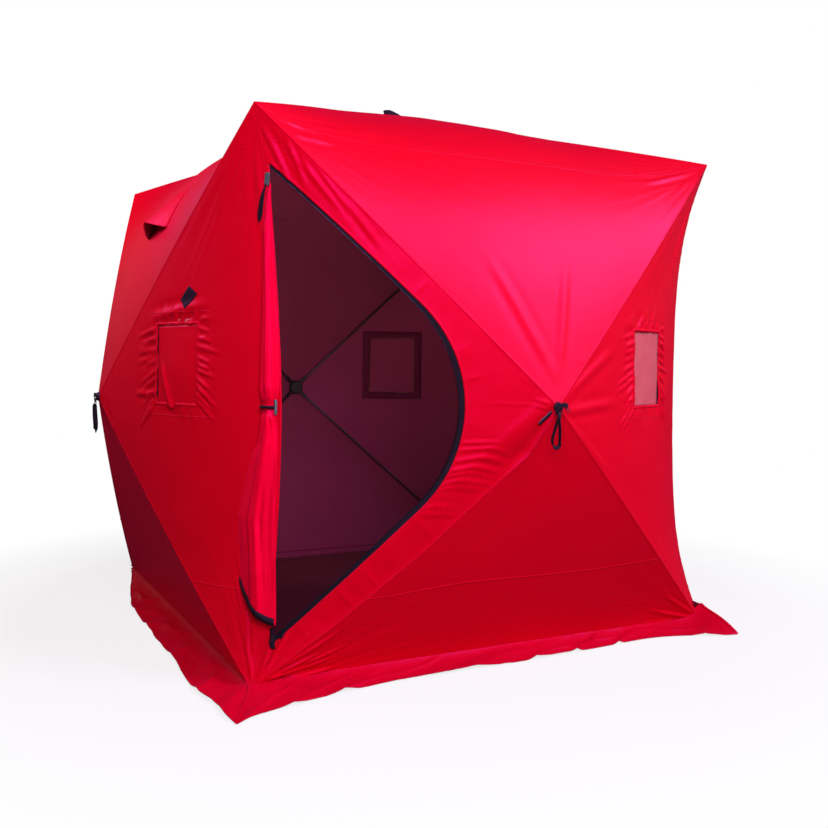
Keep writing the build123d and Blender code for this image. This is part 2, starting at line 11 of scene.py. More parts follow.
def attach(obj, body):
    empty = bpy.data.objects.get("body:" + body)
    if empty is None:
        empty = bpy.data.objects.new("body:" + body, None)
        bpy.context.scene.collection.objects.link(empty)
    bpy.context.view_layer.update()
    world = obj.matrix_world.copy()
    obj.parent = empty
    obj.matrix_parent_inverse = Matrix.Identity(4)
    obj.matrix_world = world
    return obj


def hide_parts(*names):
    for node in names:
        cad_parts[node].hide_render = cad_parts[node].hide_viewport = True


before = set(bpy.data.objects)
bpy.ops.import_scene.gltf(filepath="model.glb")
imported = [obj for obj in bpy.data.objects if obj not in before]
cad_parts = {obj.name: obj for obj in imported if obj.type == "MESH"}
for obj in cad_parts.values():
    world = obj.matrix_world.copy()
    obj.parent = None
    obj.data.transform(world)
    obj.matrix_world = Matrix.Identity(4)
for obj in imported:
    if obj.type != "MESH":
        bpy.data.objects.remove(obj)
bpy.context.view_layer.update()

# ------------------------------------------------------------------ sizes, in metres
BASE_HALF = 0.9
TOP_HALF = 0.888
CORNER_HEIGHT = 1.75
HUB_REACH = 1.195
HUB_HEIGHT = 0.855
ROOF_HEIGHT = 1.995
CORNER_SEAM_DIP = 0.115
ROOF_SEAM_DIP = 0.085
CLOTH_THICKNESS = 0.0012
SKIRT_WIDTH = 0.15
ROD_BOW = 0.011              # a loaded rod bends outwards by this at its middle
ROD_RADIUS = 0.0055
ROD_DEPTH_HUB = 0.014
CORNER_DEPTH = 0.0175
GROUND_SOCKET_HEIGHT = 0.016
DOOR_ARC_RADIUS = 0.445
DOOR_HUB_MARGIN = 0.289
DOOR_SEAM_MARGIN = 0.028
WINDOW_OUT = 0.496
WINDOW_HEIGHT_MIDDLE = 0.977
WINDOW_HALF_WIDTH = 0.09
WINDOW_HALF_HEIGHT = 0.1275
SEAM_HALF_WIDTH = 0.005
SIDES = ("front", "right", "back", "left")
WINDOW_SIGN = {"front": 1, "right": 1, "back": -1, "left": 1}
FINE, COARSE = 0.0075, 0.0125   # spacing of the cloth's points where it is seen close, and elsewhere
PATCH_THICKNESS = 0.0008        # window covers and frames, which are lighter than the shell's cloth
LEVEL_ROW = np.array([0, 3, 2, 1])   # turns quads round and keeps their first corner


# ------------------------------------------------------------------ nodes
def hex_colour(code):
    """The linear colour of an sRGB hex value."""
    parts = [int(code[i:i + 2], 16) / 255 for i in (1, 3, 5)]
    return tuple(p / 12.92 if p <= 0.04045 else ((p + 0.055) / 1.055) ** 2.4 for p in parts) + (1.0,)


def add_node(tree, kind, inputs=None, **settings):
    """Adds a node with its settings; each input is a value or another node's output."""
    made = tree.nodes.new(kind)
    for name, value in settings.items():
        setattr(made, name, value)
    for name, value in (inputs or {}).items():
        socket = made.inputs[name]
        if isinstance(value, bpy.types.NodeSocket):
            tree.links.new(value, socket)
        else:
            socket.default_value = value
    return made


def new_material(name, **shader_inputs):
    """A material with one Principled shader, and its tree and shader."""
    made = bpy.data.materials.new(name)
    made.use_nodes = True
    tree = made.node_tree
    shader = tree.nodes["Principled BSDF"]
    for key, value in shader_inputs.items():
        shader.inputs[key.replace("_", " ")].default_value = value
    return made, tree, shader


WAVE_PITCH = 2 * pi / 20        # spacing of the wave texture's bands at a scale of 1


def coloured(tree, shader, factor, first, second):
    """Gives a shader two hex colours, mixed by a node's output."""
    inputs = {0: factor, 6: hex_colour(first), 7: hex_colour(second)}
    mix = add_node(tree, "ShaderNodeMix", inputs, data_type="RGBA")
    tree.links.new(mix.outputs[2], shader.inputs["Base Color"])


def roughened(tree, shader, value, low, high):
    """Gives a shader a roughness from low to high, by soft random values."""
    inputs = {"Value": value, "From Min": 0.3, "From Max": 0.7, "To Min": low, "To Max": high}
    rough = add_node(tree, "ShaderNodeMapRange", inputs)
    tree.links.new(rough.outputs["Result"], shader.inputs["Roughness"])


def bumped(tree, shader, height, strength, distance, **inputs):
    """Gives a shader a relief, and returns it for the next relief to go on."""
    inputs.update({"Height": height, "Strength": strength, "Distance": distance})
    bump = add_node(tree, "ShaderNodeBump", inputs).outputs[0]
    tree.links.new(bump, shader.inputs["Normal"])
    return bump


def cloth_material(name, pale, deep, crumple, roughness, sheen):
    """Polyester cloth woven plain and coated on its back. The eye sees a smooth, taut skin with
    a soft sheen, faint crumples a few centimetres wide and, close by, the weave."""
    made, tree, shader = new_material(
        name, Roughness=roughness, IOR=1.36, Specular_Tint=hex_colour("#ff4cc4"),
        Sheen_Weight=sheen, Sheen_Roughness=0.42, Sheen_Tint=hex_colour("#ff2f9a"),
    )
    place = add_node(tree, "ShaderNodeTexCoord").outputs["Object"]
    cloud = add_node(tree, "ShaderNodeTexNoise", {"Vector": place, "Scale": 2.2, "Detail": 3.0})
    coloured(tree, shader, cloud.outputs["Fac"], deep, pale)
    soft = {"Vector": place, "Scale": 21.0, "Detail": 4.0, "Distortion": 0.6}
    crumples = add_node(tree, "ShaderNodeTexNoise", soft)
    crumples = bumped(tree, shader, crumples.outputs["Fac"], 0.6, crumple)
    # threads are 0.35 mm apart, and drawn 1.8 mm apart so that they show
    threads = {"Vector": add_node(tree, "ShaderNodeUVMap", uv_map="cut").outputs["UV"]}
    threads["Scale"] = WAVE_PITCH / 0.0018
    warp, weft = (add_node(tree, "ShaderNodeTexWave", threads, bands_direction=way) for way in "XY")
    both = {0: warp.outputs["Fac"], 1: weft.outputs["Fac"]}
    weave = add_node(tree, "ShaderNodeMath", both, operation="ADD")
    bumped(tree, shader, weave.outputs[0], 0.35, 0.00012, Normal=crumples)
    return made


def webbing_material(name, pale, deep, rib):
    """Polypropylene webbing: dull black ribs across the strap, with a trace of sheen from its fuzz."""
    made, tree, shader = new_material(name, Roughness=0.72, Sheen_Weight=0.03, Specular_IOR_Level=0.25)
    place = add_node(tree, "ShaderNodeTexCoord").outputs["Object"]
    fuzz = add_node(tree, "ShaderNodeTexNoise", {"Vector": place, "Scale": 160.0, "Detail": 2.0})
    coloured(tree, shader, fuzz.outputs["Fac"], deep, pale)
    cut = add_node(tree, "ShaderNodeUVMap", uv_map="cut").outputs["UV"]
    ribs = {"Vector": cut, "Scale": WAVE_PITCH / rib, "Distortion": 0.4}
    ribs = add_node(tree, "ShaderNodeTexWave", ribs, bands_direction="X")
    bumped(tree, shader, ribs.outputs["Fac"], 0.7, 0.0004)
    return made


def nylon_material(name):
    """Glass-filled nylon, moulded: matt black with a fine spark-eroded grain, duller in patches."""
    made, tree, shader = new_material(name)
    place = add_node(tree, "ShaderNodeTexCoord").outputs["Object"]
    cloud = {"Vector": place, "Scale": 30.0, "Detail": 3.0}
    cloud = add_node(tree, "ShaderNodeTexNoise", cloud).outputs["Fac"]
    coloured(tree, shader, cloud, "#0a0a0c", "#161618")
    roughened(tree, shader, cloud, 0.42, 0.6)
    grain = add_node(tree, "ShaderNodeTexNoise", {"Vector": place, "Scale": 900.0, "Detail": 2.0})
    bumped(tree, shader, grain.outputs["Fac"], 0.35, 0.0002)
    return made


def fibreglass_material():
    """Pultruded fibreglass: dark resin over straight glass strands, a satin skin with faint streaks
    along the rod."""
    made, tree, shader = new_material("pultruded_fibreglass_black")
    cut = add_node(tree, "ShaderNodeUVMap", uv_map="cut").outputs["UV"]
    # strands run along the rod, so the streaks are stretched sixty times that way
    stretched = add_node(tree, "ShaderNodeMapping", {"Vector": cut, "Scale": (8.0, 500.0, 1.0)})
    streaks = {"Vector": stretched.outputs["Vector"], "Scale": 1.0, "Detail": 3.0}
    streaks = add_node(tree, "ShaderNodeTexNoise", streaks).outputs["Fac"]
    coloured(tree, shader, streaks, "#1c1216", "#32242a")
    roughened(tree, shader, streaks, 0.28, 0.42)
    bumped(tree, shader, streaks, 0.2, 0.0002)
    return made


def slider_material():
    """Die-cast zinc under blue-grey enamel, rubbed smoother and paler in spots."""
    made, tree, shader = new_material("enamelled_zinc_blue_grey", Metallic=0.75)
    place = add_node(tree, "ShaderNodeTexCoord").outputs["Object"]
    wear = {"Vector": place, "Scale": 220.0, "Detail": 4.0}
    wear = add_node(tree, "ShaderNodeTexNoise", wear).outputs["Fac"]
    coloured(tree, shader, wear, "#557f64", "#7fae8e")
    roughened(tree, shader, wear, 0.32, 0.5)
    bumped(tree, shader, wear, 0.2, 0.0001)
    return made


def film_material():
    """Flexible PVC film, calendered: slightly milky, glossy and wavy, with soft cloudy scuffs. Its pale pink
    colour, drawn part opaque, is painted reflection of the bright studio.
    """
    made, tree, shader = new_material("calendered_pvc_film_painted_reflection", Alpha=0.42)
    place = add_node(tree, "ShaderNodeTexCoord").outputs["Object"]
    cloud = {"Vector": place, "Scale": 14.0, "Detail": 4.0}
    cloud = add_node(tree, "ShaderNodeTexNoise", cloud).outputs["Fac"]
    # pale pink, part opaque over the cover behind: painted reflection of the bright studio on the film
    coloured(tree, shader, cloud, "#e4806a", "#ee9e84")
    roughened(tree, shader, cloud, 0.08, 0.26)
    swell = add_node(tree, "ShaderNodeTexNoise", {"Vector": place, "Scale": 18.0, "Detail": 1.0})
    bumped(tree, shader, swell.outputs["Fac"], 0.8, 0.003)
    return made


def thread_material(name, pale, deep):
    """Bonded polyester sewing thread: matt, slightly darker than the cloth that it sinks into."""
    made, tree, shader = new_material(name, Roughness=0.7)
    place = add_node(tree, "ShaderNodeTexCoord").outputs["Object"]
    fuzz = add_node(tree, "ShaderNodeTexNoise", {"Vector": place, "Scale": 700.0, "Detail": 1.0})
    coloured(tree, shader, fuzz.outputs["Fac"], deep, pale)
    return made


SHELL = cloth_material("coated_polyester_woven_red", "#da0018", "#cf0014", 0.0011, 0.45, 0.06)
LINING = cloth_material("coated_polyester_back_dark_red", "#84384c", "#6e2a3c", 0.0011, 0.6, 0.05)
# the skirt's cloth is coloured darker than the shell's: painted shade, which keeps the up-facing skirt dark
# under the lamps above it
SKIRT = cloth_material("coated_polyester_skirt_red_painted_shade", "#c6001e", "#b50018", 0.0016, 0.42, 0.05)
WINDOW_LINING = cloth_material(
    "coated_polyester_double_back_dark_red", "#56202e", "#4a1a27", 0.0009, 0.6, 0.03,
)
# the door's gathered cloth is the shell's cloth, coloured brighter than the shell: painted light where the
# bundle faces the front lamps
FLAP = cloth_material("coated_polyester_gathered_red_painted_light", "#f0002a", "#e40026", 0.0006, 0.31, 0.12)
# ribs are 1.2 mm apart, and drawn 2 mm apart so that they show
WEBBING = webbing_material("polypropylene_webbing_black", "#0f0e10", "#060606", 0.002)
TAPE = webbing_material("woven_zip_tape_black", "#0c0b0d", "#050505", 0.0015)
NYLON = nylon_material("moulded_nylon_black")
TEETH = nylon_material("moulded_coil_teeth_black")
FIBREGLASS = fibreglass_material()
SLIDER_METAL = slider_material()
FILM = film_material()
RED_THREAD = thread_material("bonded_thread_red", "#c60022", "#a8001b")
DARK_THREAD = thread_material("bonded_thread_dark", "#2a2529", "#151315")


# ------------------------------------------------------------------ smooth random shapes
HILL_TABLE = 97                 # the hills repeat after this many


def hills(x, y, seed):
    """Smooth random heights from -1 to 1, with hills about one unit wide."""
    table = np.random.default_rng(seed).uniform(-1, 1, (HILL_TABLE, HILL_TABLE))
    x, y = np.asarray(x, float), np.asarray(y, float)
    i, j = np.floor(x).astype(int), np.floor(y).astype(int)
    fx, fy = x - i, y - j
    fx, fy = (f * f * f * (f * (f * 6 - 15) + 10) for f in (fx, fy))
    i0, i1, j0, j1 = (step % HILL_TABLE for step in (i, i + 1, j, j + 1))
    low = table[i0, j0] * (1 - fx) + table[i1, j0] * fx
    high = table[i0, j1] * (1 - fx) + table[i1, j1] * fx
    return low * (1 - fy) + high * fy


def rise(value, low, high):
    """0 below low, 1 above high, and smooth between."""
    share = np.clip((np.asarray(value, float) - low) / (high - low), 0, 1)
    return share * share * (3 - 2 * share)


def pointed(value):
    """Turns round hills into folds with a narrow crest."""
    return 2 * (1 - np.abs(value)) ** 2.2 - 0.62


# ------------------------------------------------------------------ lines and directions
def unit(vectors):
    """The directions of vectors."""
    return vectors / np.linalg.norm(vectors, axis=-1, keepdims=True)


def headings(line):
    """The direction of a line at each of its points."""
    return unit(np.gradient(line, axis=0))


def squared(ways, run):
    """Directions made square to a run."""
    return unit(ways - run * (ways * run).sum(axis=-1, keepdims=True))


def lengths_along(line):
    """How far along a line each of its points is."""
    return np.concatenate([[0], np.cumsum(np.linalg.norm(np.diff(line, axis=0), axis=1))])


# ------------------------------------------------------------------ points of the cube
def turned(points, quarter):
    """Points turned about the middle of the hut by quarters of a turn."""
    points = np.array(points, float)
    for _ in range(quarter % 4):
        points = np.stack([-points[..., 1], points[..., 0], points[..., 2]], -1)
    return points


TOP_LEFT = np.array([-TOP_HALF, -TOP_HALF, CORNER_HEIGHT])
GROUND_LEFT = np.array([-BASE_HALF, -BASE_HALF, 0.0])
FRONT_HUB = np.array([0.0, -HUB_REACH, HUB_HEIGHT])
ROOF_HUB = np.array([0.0, 0.0, ROOF_HEIGHT])
TOP_RIGHT = turned(TOP_LEFT, 1)
GROUND_RIGHT = turned(GROUND_LEFT, 1)
OUTWARD = np.array([0.0, -1.0, 0.0])
CORNER_OUT = np.array([-1.0, -1.0, 0.0]) / 2 ** 0.5
CORNER_ALONG = np.array([-1.0, 1.0, 0.0]) / 2 ** 0.5
ROOF_EDGE_OUT = np.array([0.0, -1.0, 1.0]) / 2 ** 0.5
UP = np.array([0.0, 0.0, 1.0])


def saddle_net(corners, dip):
    """Control points of a saddle whose first-to-third seam is drawn in by dip."""
    a, b, c, d = corners
    seam_middle = (a + c) / 2
    inward = unit((b + d) / 2 - seam_middle)
    pull = (seam_middle + inward * dip - (a + b + c + d) * (1 / 16 + 1 / 8)) * 4
    return np.array([[a, (a + b) / 2, b], [(a + d) / 2, pull, (b + c) / 2], [d, (c + d) / 2, c]])


def on_net(net, u, v):
    """Points of a saddle."""
    across = np.stack([(1 - u) ** 2, 2 * u * (1 - u), u ** 2], -1)
    down = np.stack([(1 - v) ** 2, 2 * v * (1 - v), v ** 2], -1)
    return np.einsum("ni,nj,ijk->nk", across, down, net)


CORNER_NET = saddle_net([TOP_LEFT, FRONT_HUB, GROUND_LEFT, turned(FRONT_HUB, 3)], CORNER_SEAM_DIP)
ROOF_NET = saddle_net([TOP_LEFT, FRONT_HUB, TOP_RIGHT, ROOF_HUB], ROOF_SEAM_DIP)


def corner_seam(share):
    """Points of the front left corner seam, at shares of its length from the top."""
    share = np.atleast_1d(np.asarray(share, float))
    return on_net(CORNER_NET, share, share)


# ------------------------------------------------------------------ one triangle of cloth
# Shares of a point are (first corner, hub, second corner). Everything is in the front wall's own
# place, and place() turns it to the wall it belongs to.
def flat_surface(shares):
    """Points of the front wall's lower panel, which is flat."""
    return shares[:, :1] * GROUND_LEFT + shares[:, 1:2] * FRONT_HUB + shares[:, 2:] * GROUND_RIGHT


# kind of panel: its surface from shares, and the way out of its seam
KINDS = {
    "left": (lambda s: on_net(CORNER_NET, s[:, 2], 1 - s[:, 0]), CORNER_OUT),
    "right": (lambda s: turned(on_net(CORNER_NET, 1 - s[:, 0], s[:, 2]), 1), turned(CORNER_OUT, 1)),
    "upper": (lambda s: on_net(ROOF_NET, s[:, 2], 1 - s[:, 0]), ROOF_EDGE_OUT),
    "roof": (lambda s: on_net(ROOF_NET, 1 - s[:, 0], s[:, 2]), ROOF_EDGE_OUT),
    "lower": (flat_surface, np.zeros(3)),
}
CORNERS = np.eye(3)
# The front's cloth hangs slack over the rod from the hub to the left ground corner, and sags below
# it. For the panels on both sides of that rod: corner across from it, its corner on the ground, and
# reach of the sag.
SLACK = {"left": (0, 2, 0.055), "lower": (2, 0, 0.30)}
SLACK_WAY = np.array([0.709, 0.230, -0.666])
SAG_PLACES = (0, 0.03, 0.13, 0.30, 0.47, 0.75, 0.92, 1)      # shares of the way down the rod
SAG_DEPTHS = (0, 0.018, 0.060, 0.055, 0.058, 0.035, 0.008, 0)
SEAM_PUCKER = 0.0016            # height of the puckers along the drawn-in seams
# pulls that spread from a panel's corners and its hub: corner, reach, height, how many to a radian
PULLS = ((0, 0.75, 0.0032, 15), (2, 0.6, 0.0030, 15), (1, 0.20, 0.0022, 9))
# short puckers at a panel's edges: corner across from the edge, spacing, height, reach
EDGE_PUCKERS = ((1, 0.035, 0.0016, 0.045), (0, 0.05, 0.0012, 0.04), (2, 0.05, 0.0012, 0.04))
FOLD_END = 0.02                 # folds die out this near to an edge


class Panel:
    """A triangle of cloth between two corners of the hut and a hub."""

    def __init__(self, kind, quarter, seed, strength=1.0):
        self.kind, self.quarter, self.seed, self.strength = kind, quarter, seed, strength
        self.surface, self.seam_out = KINDS[kind]
        self.rod_out = UP if kind == "roof" else OUTWARD
        first, hub, second = self.surface(CORNERS)
        self.long = np.linalg.norm(second - first)
        along = unit(second - first)
        reach = np.dot(hub - first, along)
        self.flat_hub = np.array([reach, np.linalg.norm(hub - first - along * reach)])
        self.folds = []          # functions of the panel and its cut pattern

    def flat(self, shares):
        """The cut pattern: distance along the seam, and from it, in metres."""
        return shares[:, 1:2] * self.flat_hub + shares[:, 2:] * np.array([self.long, 0.0])

    def heights(self):
        """Distance from each edge's far corner, for turning shares into distances from the edges."""
        first, hub, second = np.array([0.0, 0.0]), self.flat_hub, np.array([self.long, 0.0])
        area = self.long * self.flat_hub[1]
        sides = [np.linalg.norm(second - hub), self.long, np.linalg.norm(hub - first)]
        return np.array([area / side for side in sides])

    def normals(self, shares):
        """Directions out of the hut."""
        step = 1e-4
        base = self.surface(shares)
        one = self.surface(shares + np.array([-step, 0, step])) - base
        two = self.surface(shares + np.array([-step, step, 0])) - base
        out = np.cross(one, two)
        out /= np.maximum(np.linalg.norm(out, axis=1, keepdims=True), 1e-12)
        middle = self.surface(np.array([[1 / 3, 1 / 3, 1 / 3]]))[0] - np.array([0, 0, 0.8])
        return out * np.where(out @ middle < 0, -1.0, 1.0)[:, None]

    def edge_shift(self, shares):
        """What the rods and seams do to the edges, which two panels share."""
        shift = np.zeros((len(shares), 3))
        for corner in (0, 2):
            other = 2 - corner
            pair = np.maximum(shares[:, corner] + shares[:, 1], 1e-9)
            out = shares[:, corner] / pair
            bow = ROD_BOW * 4 * out * (1 - out)
            shift += (bow * (1 - shares[:, other]) ** 3)[:, None] * self.rod_out
        pair = np.maximum(shares[:, 0] + shares[:, 2], 1e-9)
        along = shares[:, 2] / pair
        pucker = SEAM_PUCKER * hills(along * 26, 0.5, 7) * np.clip(8 * along * (1 - along), 0, 1)
        shift += (pucker * (1 - shares[:, 1]) ** 12)[:, None] * self.seam_out
        if self.quarter == 0 and self.kind in SLACK:
            apex, ground, width = SLACK[self.kind]
            run = shares[:, ground] / np.maximum(shares[:, ground] + shares[:, 1], 1e-9)
            sag = np.interp(run, SAG_PLACES, SAG_DEPTHS)
            off = shares[:, apex] * self.heights()[apex]
            shift += (sag * (1 - rise(off, 0, width)))[:, None] * SLACK_WAY
        return shift

    def wrinkle(self, shares):
        """Height of the cloth's wrinkles, which die out at the edges."""
        cut, far, seed = self.flat(shares), self.heights(), self.seed
        edge = np.min(shares * far, axis=1)
        # slack between the rods, in soft waves that run from corner to hub
        height = 0.0035 * hills(cut[:, 0] / 0.34, cut[:, 1] / 0.30, seed) * rise(edge, 0.0, 0.16)
        height += 0.0011 * hills(cut[:, 0] / 0.10, cut[:, 1] / 0.13, seed + 1) * rise(edge, 0.0, 0.09)
        for corner, reach, amount, count in PULLS:
            apex = (np.array([0.0, 0.0]), self.flat_hub, np.array([self.long, 0.0]))[corner]
            away = cut - apex
            far_off = np.linalg.norm(away, axis=1)
            angle = np.arctan2(away[:, 1], away[:, 0])
            ridges = pointed(hills(angle * count, far_off / (reach * 0.6), seed + 5 + corner))
            share = far_off / reach
            fade = np.exp(1 - 4.2 * share) * 2.2 * rise(edge, 0.0, 0.03) * rise(far_off, 0.04, 0.14)
            height += amount * ridges * share * fade
        for corner, wave, amount, wide in EDGE_PUCKERS:
            off = shares[:, corner] * far[corner]
            run = cut[:, 0] if corner == 1 else np.linalg.norm(cut - self.flat_hub, axis=1)
            fade = np.exp(-off / wide) * rise(off, 0, 0.012)
            height += amount * hills(run / wave, off / 0.12, seed + 11 + corner) * fade
        height *= self.strength
        for fold in self.folds:
            height += fold(self, cut) * rise(edge, 0.0, FOLD_END)
        return height

    def place(self, shares, lift=0.0, wrinkled=True):
        """Points of the finished cloth, in the hut's frame, lifted off it, or off the smooth cloth."""
        height = lift + (self.wrinkle(shares) if wrinkled else 0.0)
        points = self.surface(shares) + self.edge_shift(shares)
        return turned(points + self.normals(shares) * np.reshape(height, (-1, 1)), self.quarter)

    def seen_at(self, places):
        """Shares of the points seen at places on the wall from in front: across it and up."""
        target = np.reshape(np.asarray(places, float), (-1, 2))
        pick = [0, 2]
        triangle = self.surface(CORNERS)[:, pick]
        grid = np.column_stack([triangle[0] - triangle[2], triangle[1] - triangle[2]])
        pair = (target - triangle[2]) @ np.linalg.inv(grid).T
        step = 1e-5
        for _ in range(7):                              # Newton's method settles in a few rounds
            shares = np.column_stack([pair, 1 - pair.sum(1)])
            here = self.surface(shares)[:, pick]
            one = (self.surface(shares + np.array([step, 0, -step]))[:, pick] - here) / step
            two = (self.surface(shares + np.array([0, step, -step]))[:, pick] - here) / step
            miss = target - here
            det = one[:, 0] * two[:, 1] - one[:, 1] * two[:, 0]
            pair[:, 0] += (miss[:, 0] * two[:, 1] - miss[:, 1] * two[:, 0]) / det
            pair[:, 1] += (one[:, 0] * miss[:, 1] - one[:, 1] * miss[:, 0]) / det
        return np.column_stack([pair, 1 - pair.sum(1)])


# ------------------------------------------------------------------ building meshes
def quads(rows, columns):
    """The quads of a grid of points, row by row."""
    index = np.arange(rows * columns).reshape(rows, columns)
    corners = index[:-1, :-1], index[1:, :-1], index[1:, 1:], index[:-1, 1:]
    return np.column_stack([corner.ravel() for corner in corners])


def grid_shares(rows, columns):
    """Shares from 0 to 1 down and across a grid, one of each for each point."""
    down, across = np.meshgrid(np.linspace(0, 1, rows), np.linspace(0, 1, columns), indexing="ij")
    return down.ravel(), across.ravel()


def faced(points, faces, way):
    """Faces turned round if, taken together, they look away from a direction."""
    start, next_one, last = (points[faces[:, k]] for k in (0, 1, -1))
    facing = np.cross(next_one - start, last - start).sum(axis=0)
    return faces if facing @ way > 0 else faces[:, ::-1]


def new_object(name, points, faces, materials, cut=None, smooth=True):
    """A mesh object; cut is the cut pattern in metres, one place for each point, and smooth is for
    all faces or for each."""
    mesh = bpy.data.meshes.new(name)
    faces = faces if isinstance(faces, list) else faces.tolist()
    mesh.from_pydata(np.asarray(points, float).tolist(), [], faces)
    for material in materials:
        mesh.materials.append(material)
    if cut is not None:
        layer = mesh.uv_layers.new(name="cut")
        corners = np.zeros(len(mesh.loops), np.int32)
        mesh.loops.foreach_get("vertex_index", corners)
        layer.data.foreach_set("uv", np.asarray(cut, np.float32)[corners].ravel())
    mesh.polygons.foreach_set("use_smooth", np.broadcast_to(smooth, len(mesh.polygons)).tolist())
    mesh.update()
    made = bpy.data.objects.new(name, mesh)
    bpy.context.scene.collection.objects.link(made)
    return made


def settled(made):
    """Applies the modifiers, so that the piece is a plain mesh."""
    depsgraph = bpy.context.evaluated_depsgraph_get()
    mesh = bpy.data.meshes.new_from_object(made.evaluated_get(depsgraph))
    made.modifiers.clear()
    made.data = mesh
    return made


def thickened(made, thickness, way=-1.0, inner_slot=0):
    """Gives a sheet its thickness; way is -1 for inwards."""
    solid = made.modifiers.new("thickness", "SOLIDIFY")
    solid.thickness, solid.offset = thickness, way
    solid.material_offset = inner_slot
    solid.use_even_offset = False
    return settled(made)


def lattice(count):
    """Shares of the points of a triangle with count steps a side, and its small triangles."""
    start = np.concatenate([[0], np.cumsum([count + 1 - i for i in range(count + 1)])])
    shares, faces = [], []
    for i in range(count + 1):
        j = np.arange(count + 1 - i)
        shares.append(np.column_stack([count - i - j, np.full(len(j), i), j]) / count)
        here, above = start[i] + j, start[i + 1] + j
        faces.append(np.column_stack([here[:-1], here[1:], above[:-1]]))
        if len(j) > 2:
            faces.append(np.column_stack([here[1:-1], above[1:-1], above[:-2]]))
    rim = [start[0] + np.arange(count)]
    rim.append(np.array([start[i] + count - i for i in range(count)]))
    rim.append(np.array([start[i] for i in range(count, 0, -1)]))
    return np.concatenate(shares), np.concatenate(faces), np.concatenate(rim)


def spaced(line, spacing, closed=False):
    """A line's points, moved to even spacing."""
    line = np.asarray(line, float)
    if closed:
        line = np.vstack([line, line[:1]])
    run = lengths_along(line)
    steps = max(2, round(run[-1] / spacing))
    places = np.linspace(0, run[-1], steps + 1)
    even = np.column_stack([np.interp(places, run, line[:, k]) for k in range(line.shape[1])])
    return even[:-1] if closed else even


def nearest(points, line):
    """Distance of points from a line, and how far along it their nearest place is."""
    best = np.full(len(points), 1e9)
    place = np.zeros(len(points))
    run = 0.0
    for start, end in zip(line[:-1], line[1:]):
        step = end - start
        length = np.linalg.norm(step)
        share = np.clip((points - start) @ step / length ** 2, 0, 1)
        off = np.linalg.norm(points - start - share[:, None] * step, axis=1)
        nearer = off < best
        best = np.where(nearer, off, best)
        place = np.where(nearer, run + share * length, place)
        run += length
    return best, place


def inside(points, outline):
    """Whether points lie in a closed outline."""
    found = np.zeros(len(points), bool)
    x, y = points[:, 0], points[:, 1]
    for (x0, y0), (x1, y1) in zip(outline, np.roll(outline, -1, axis=0)):
        if y0 != y1:
            found ^= ((y0 > y) != (y1 > y)) & (x < (x1 - x0) * (y - y0) / (y1 - y0) + x0)
    return found


def holed_triangle(panel, count, holes):
    """Shares and triangles of a panel with holes, whose outlines are places on the wall."""
    shares, _, rim = lattice(count)
    places = panel.surface(shares)[:, [0, 2]]
    spacing = panel.long / count
    keep = np.ones(len(places), bool)
    for hole in holes:
        close, _ = nearest(places, np.vstack([hole, hole[:1]]))
        keep &= (close > 0.45 * spacing) & ~inside(places, hole)
    keep[rim] = True
    index = np.cumsum(keep) - 1
    points = [places[keep]]
    edges = [(index[a], index[b]) for a, b in zip(rim, np.roll(rim, -1))]
    base = len(points[0])
    for hole in holes:
        edges += [(base + k, base + (k + 1) % len(hole)) for k in range(len(hole))]
        points.append(hole)
        base += len(hole)
    points = np.concatenate(points)
    edges = [(int(a), int(b)) for a, b in edges]
    found = delaunay_2d_cdt([Vector(p) for p in points], edges, [], 0, 1e-7)
    places = np.array([tuple(p) for p in found[0]])
    faces = np.array([tuple(f) for f in found[2]])
    middle = places[faces].mean(axis=1)
    good = (panel.seen_at(middle) > 1e-5).all(axis=1)
    for hole in holes:
        good &= ~inside(middle, hole)
    faces = faces[good]
    used, faces = np.unique(faces, return_inverse=True)
    faces = faces.reshape(-1, 3)
    shares = np.clip(panel.seen_at(places[used]), 0, None)
    return shares / shares.sum(axis=1, keepdims=True), faces


def panel_object(name, panel, spacing, holes=()):
    """The cloth of one panel, red outside and lined dark inside."""
    count = round(panel.long / spacing)
    if holes:
        shares, faces = holed_triangle(panel, count, holes)
    else:
        shares, faces, _ = lattice(count)
    points = panel.place(shares)
    taut = panel.surface(shares)[faces]
    doubled = np.cross(taut[:, 1] - taut[:, 0], taut[:, 2] - taut[:, 0])
    panel.area = 0.5 * np.linalg.norm(doubled, axis=1).sum()
    out = turned(panel.normals(shares[faces[len(faces) // 2]][:1]), panel.quarter)[0]
    made = new_object(name, points, faced(points, faces, out), [SHELL, LINING], cut=panel.flat(shares))
    return thickened(made, CLOTH_THICKNESS, inner_slot=1)


def band(name, panel, rows, lifts, material):
    """A strip on a panel, through rows of points given by their shares."""
    points = [panel.place(row, lift) for row, lift in zip(rows, lifts)]
    run, across, cuts = lengths_along(points[0]), 0.0, []
    for last, row in zip([points[0]] + points, points):
        across += np.linalg.norm(row - last, axis=1).mean()
        cuts.append(np.column_stack([run, np.full(len(run), across)]))
    points, wide = np.concatenate(points), len(run)
    out = turned(panel.normals(rows[0][wide // 2:wide // 2 + 1]), panel.quarter)[0]
    faces = faced(points, quads(len(rows), wide)[:, LEVEL_ROW], out)
    return new_object(name, points, faces, [material], cut=np.concatenate(cuts))


def joined(name, pieces):
    """Several pieces made one."""
    for piece in bpy.context.selected_objects:
        piece.select_set(False)
    for piece in pieces:
        piece.select_set(True)
    bpy.context.view_layer.objects.active = pieces[0]
    bpy.ops.object.join()
    pieces[0].name = name
    return pieces[0]


def part_of_hut(made, slot_name, *nodes):
    """Rides on the hut and stands for its CAD nodes."""
    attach(made, "root")
    if nodes:
        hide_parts(*nodes)
    return made


# ------------------------------------------------------------------ folds that one place has
VALLEY_DEPTH, VALLEY_OFF = 0.4, 1.9      # of the valleys beside a fold, in heights and widths of it


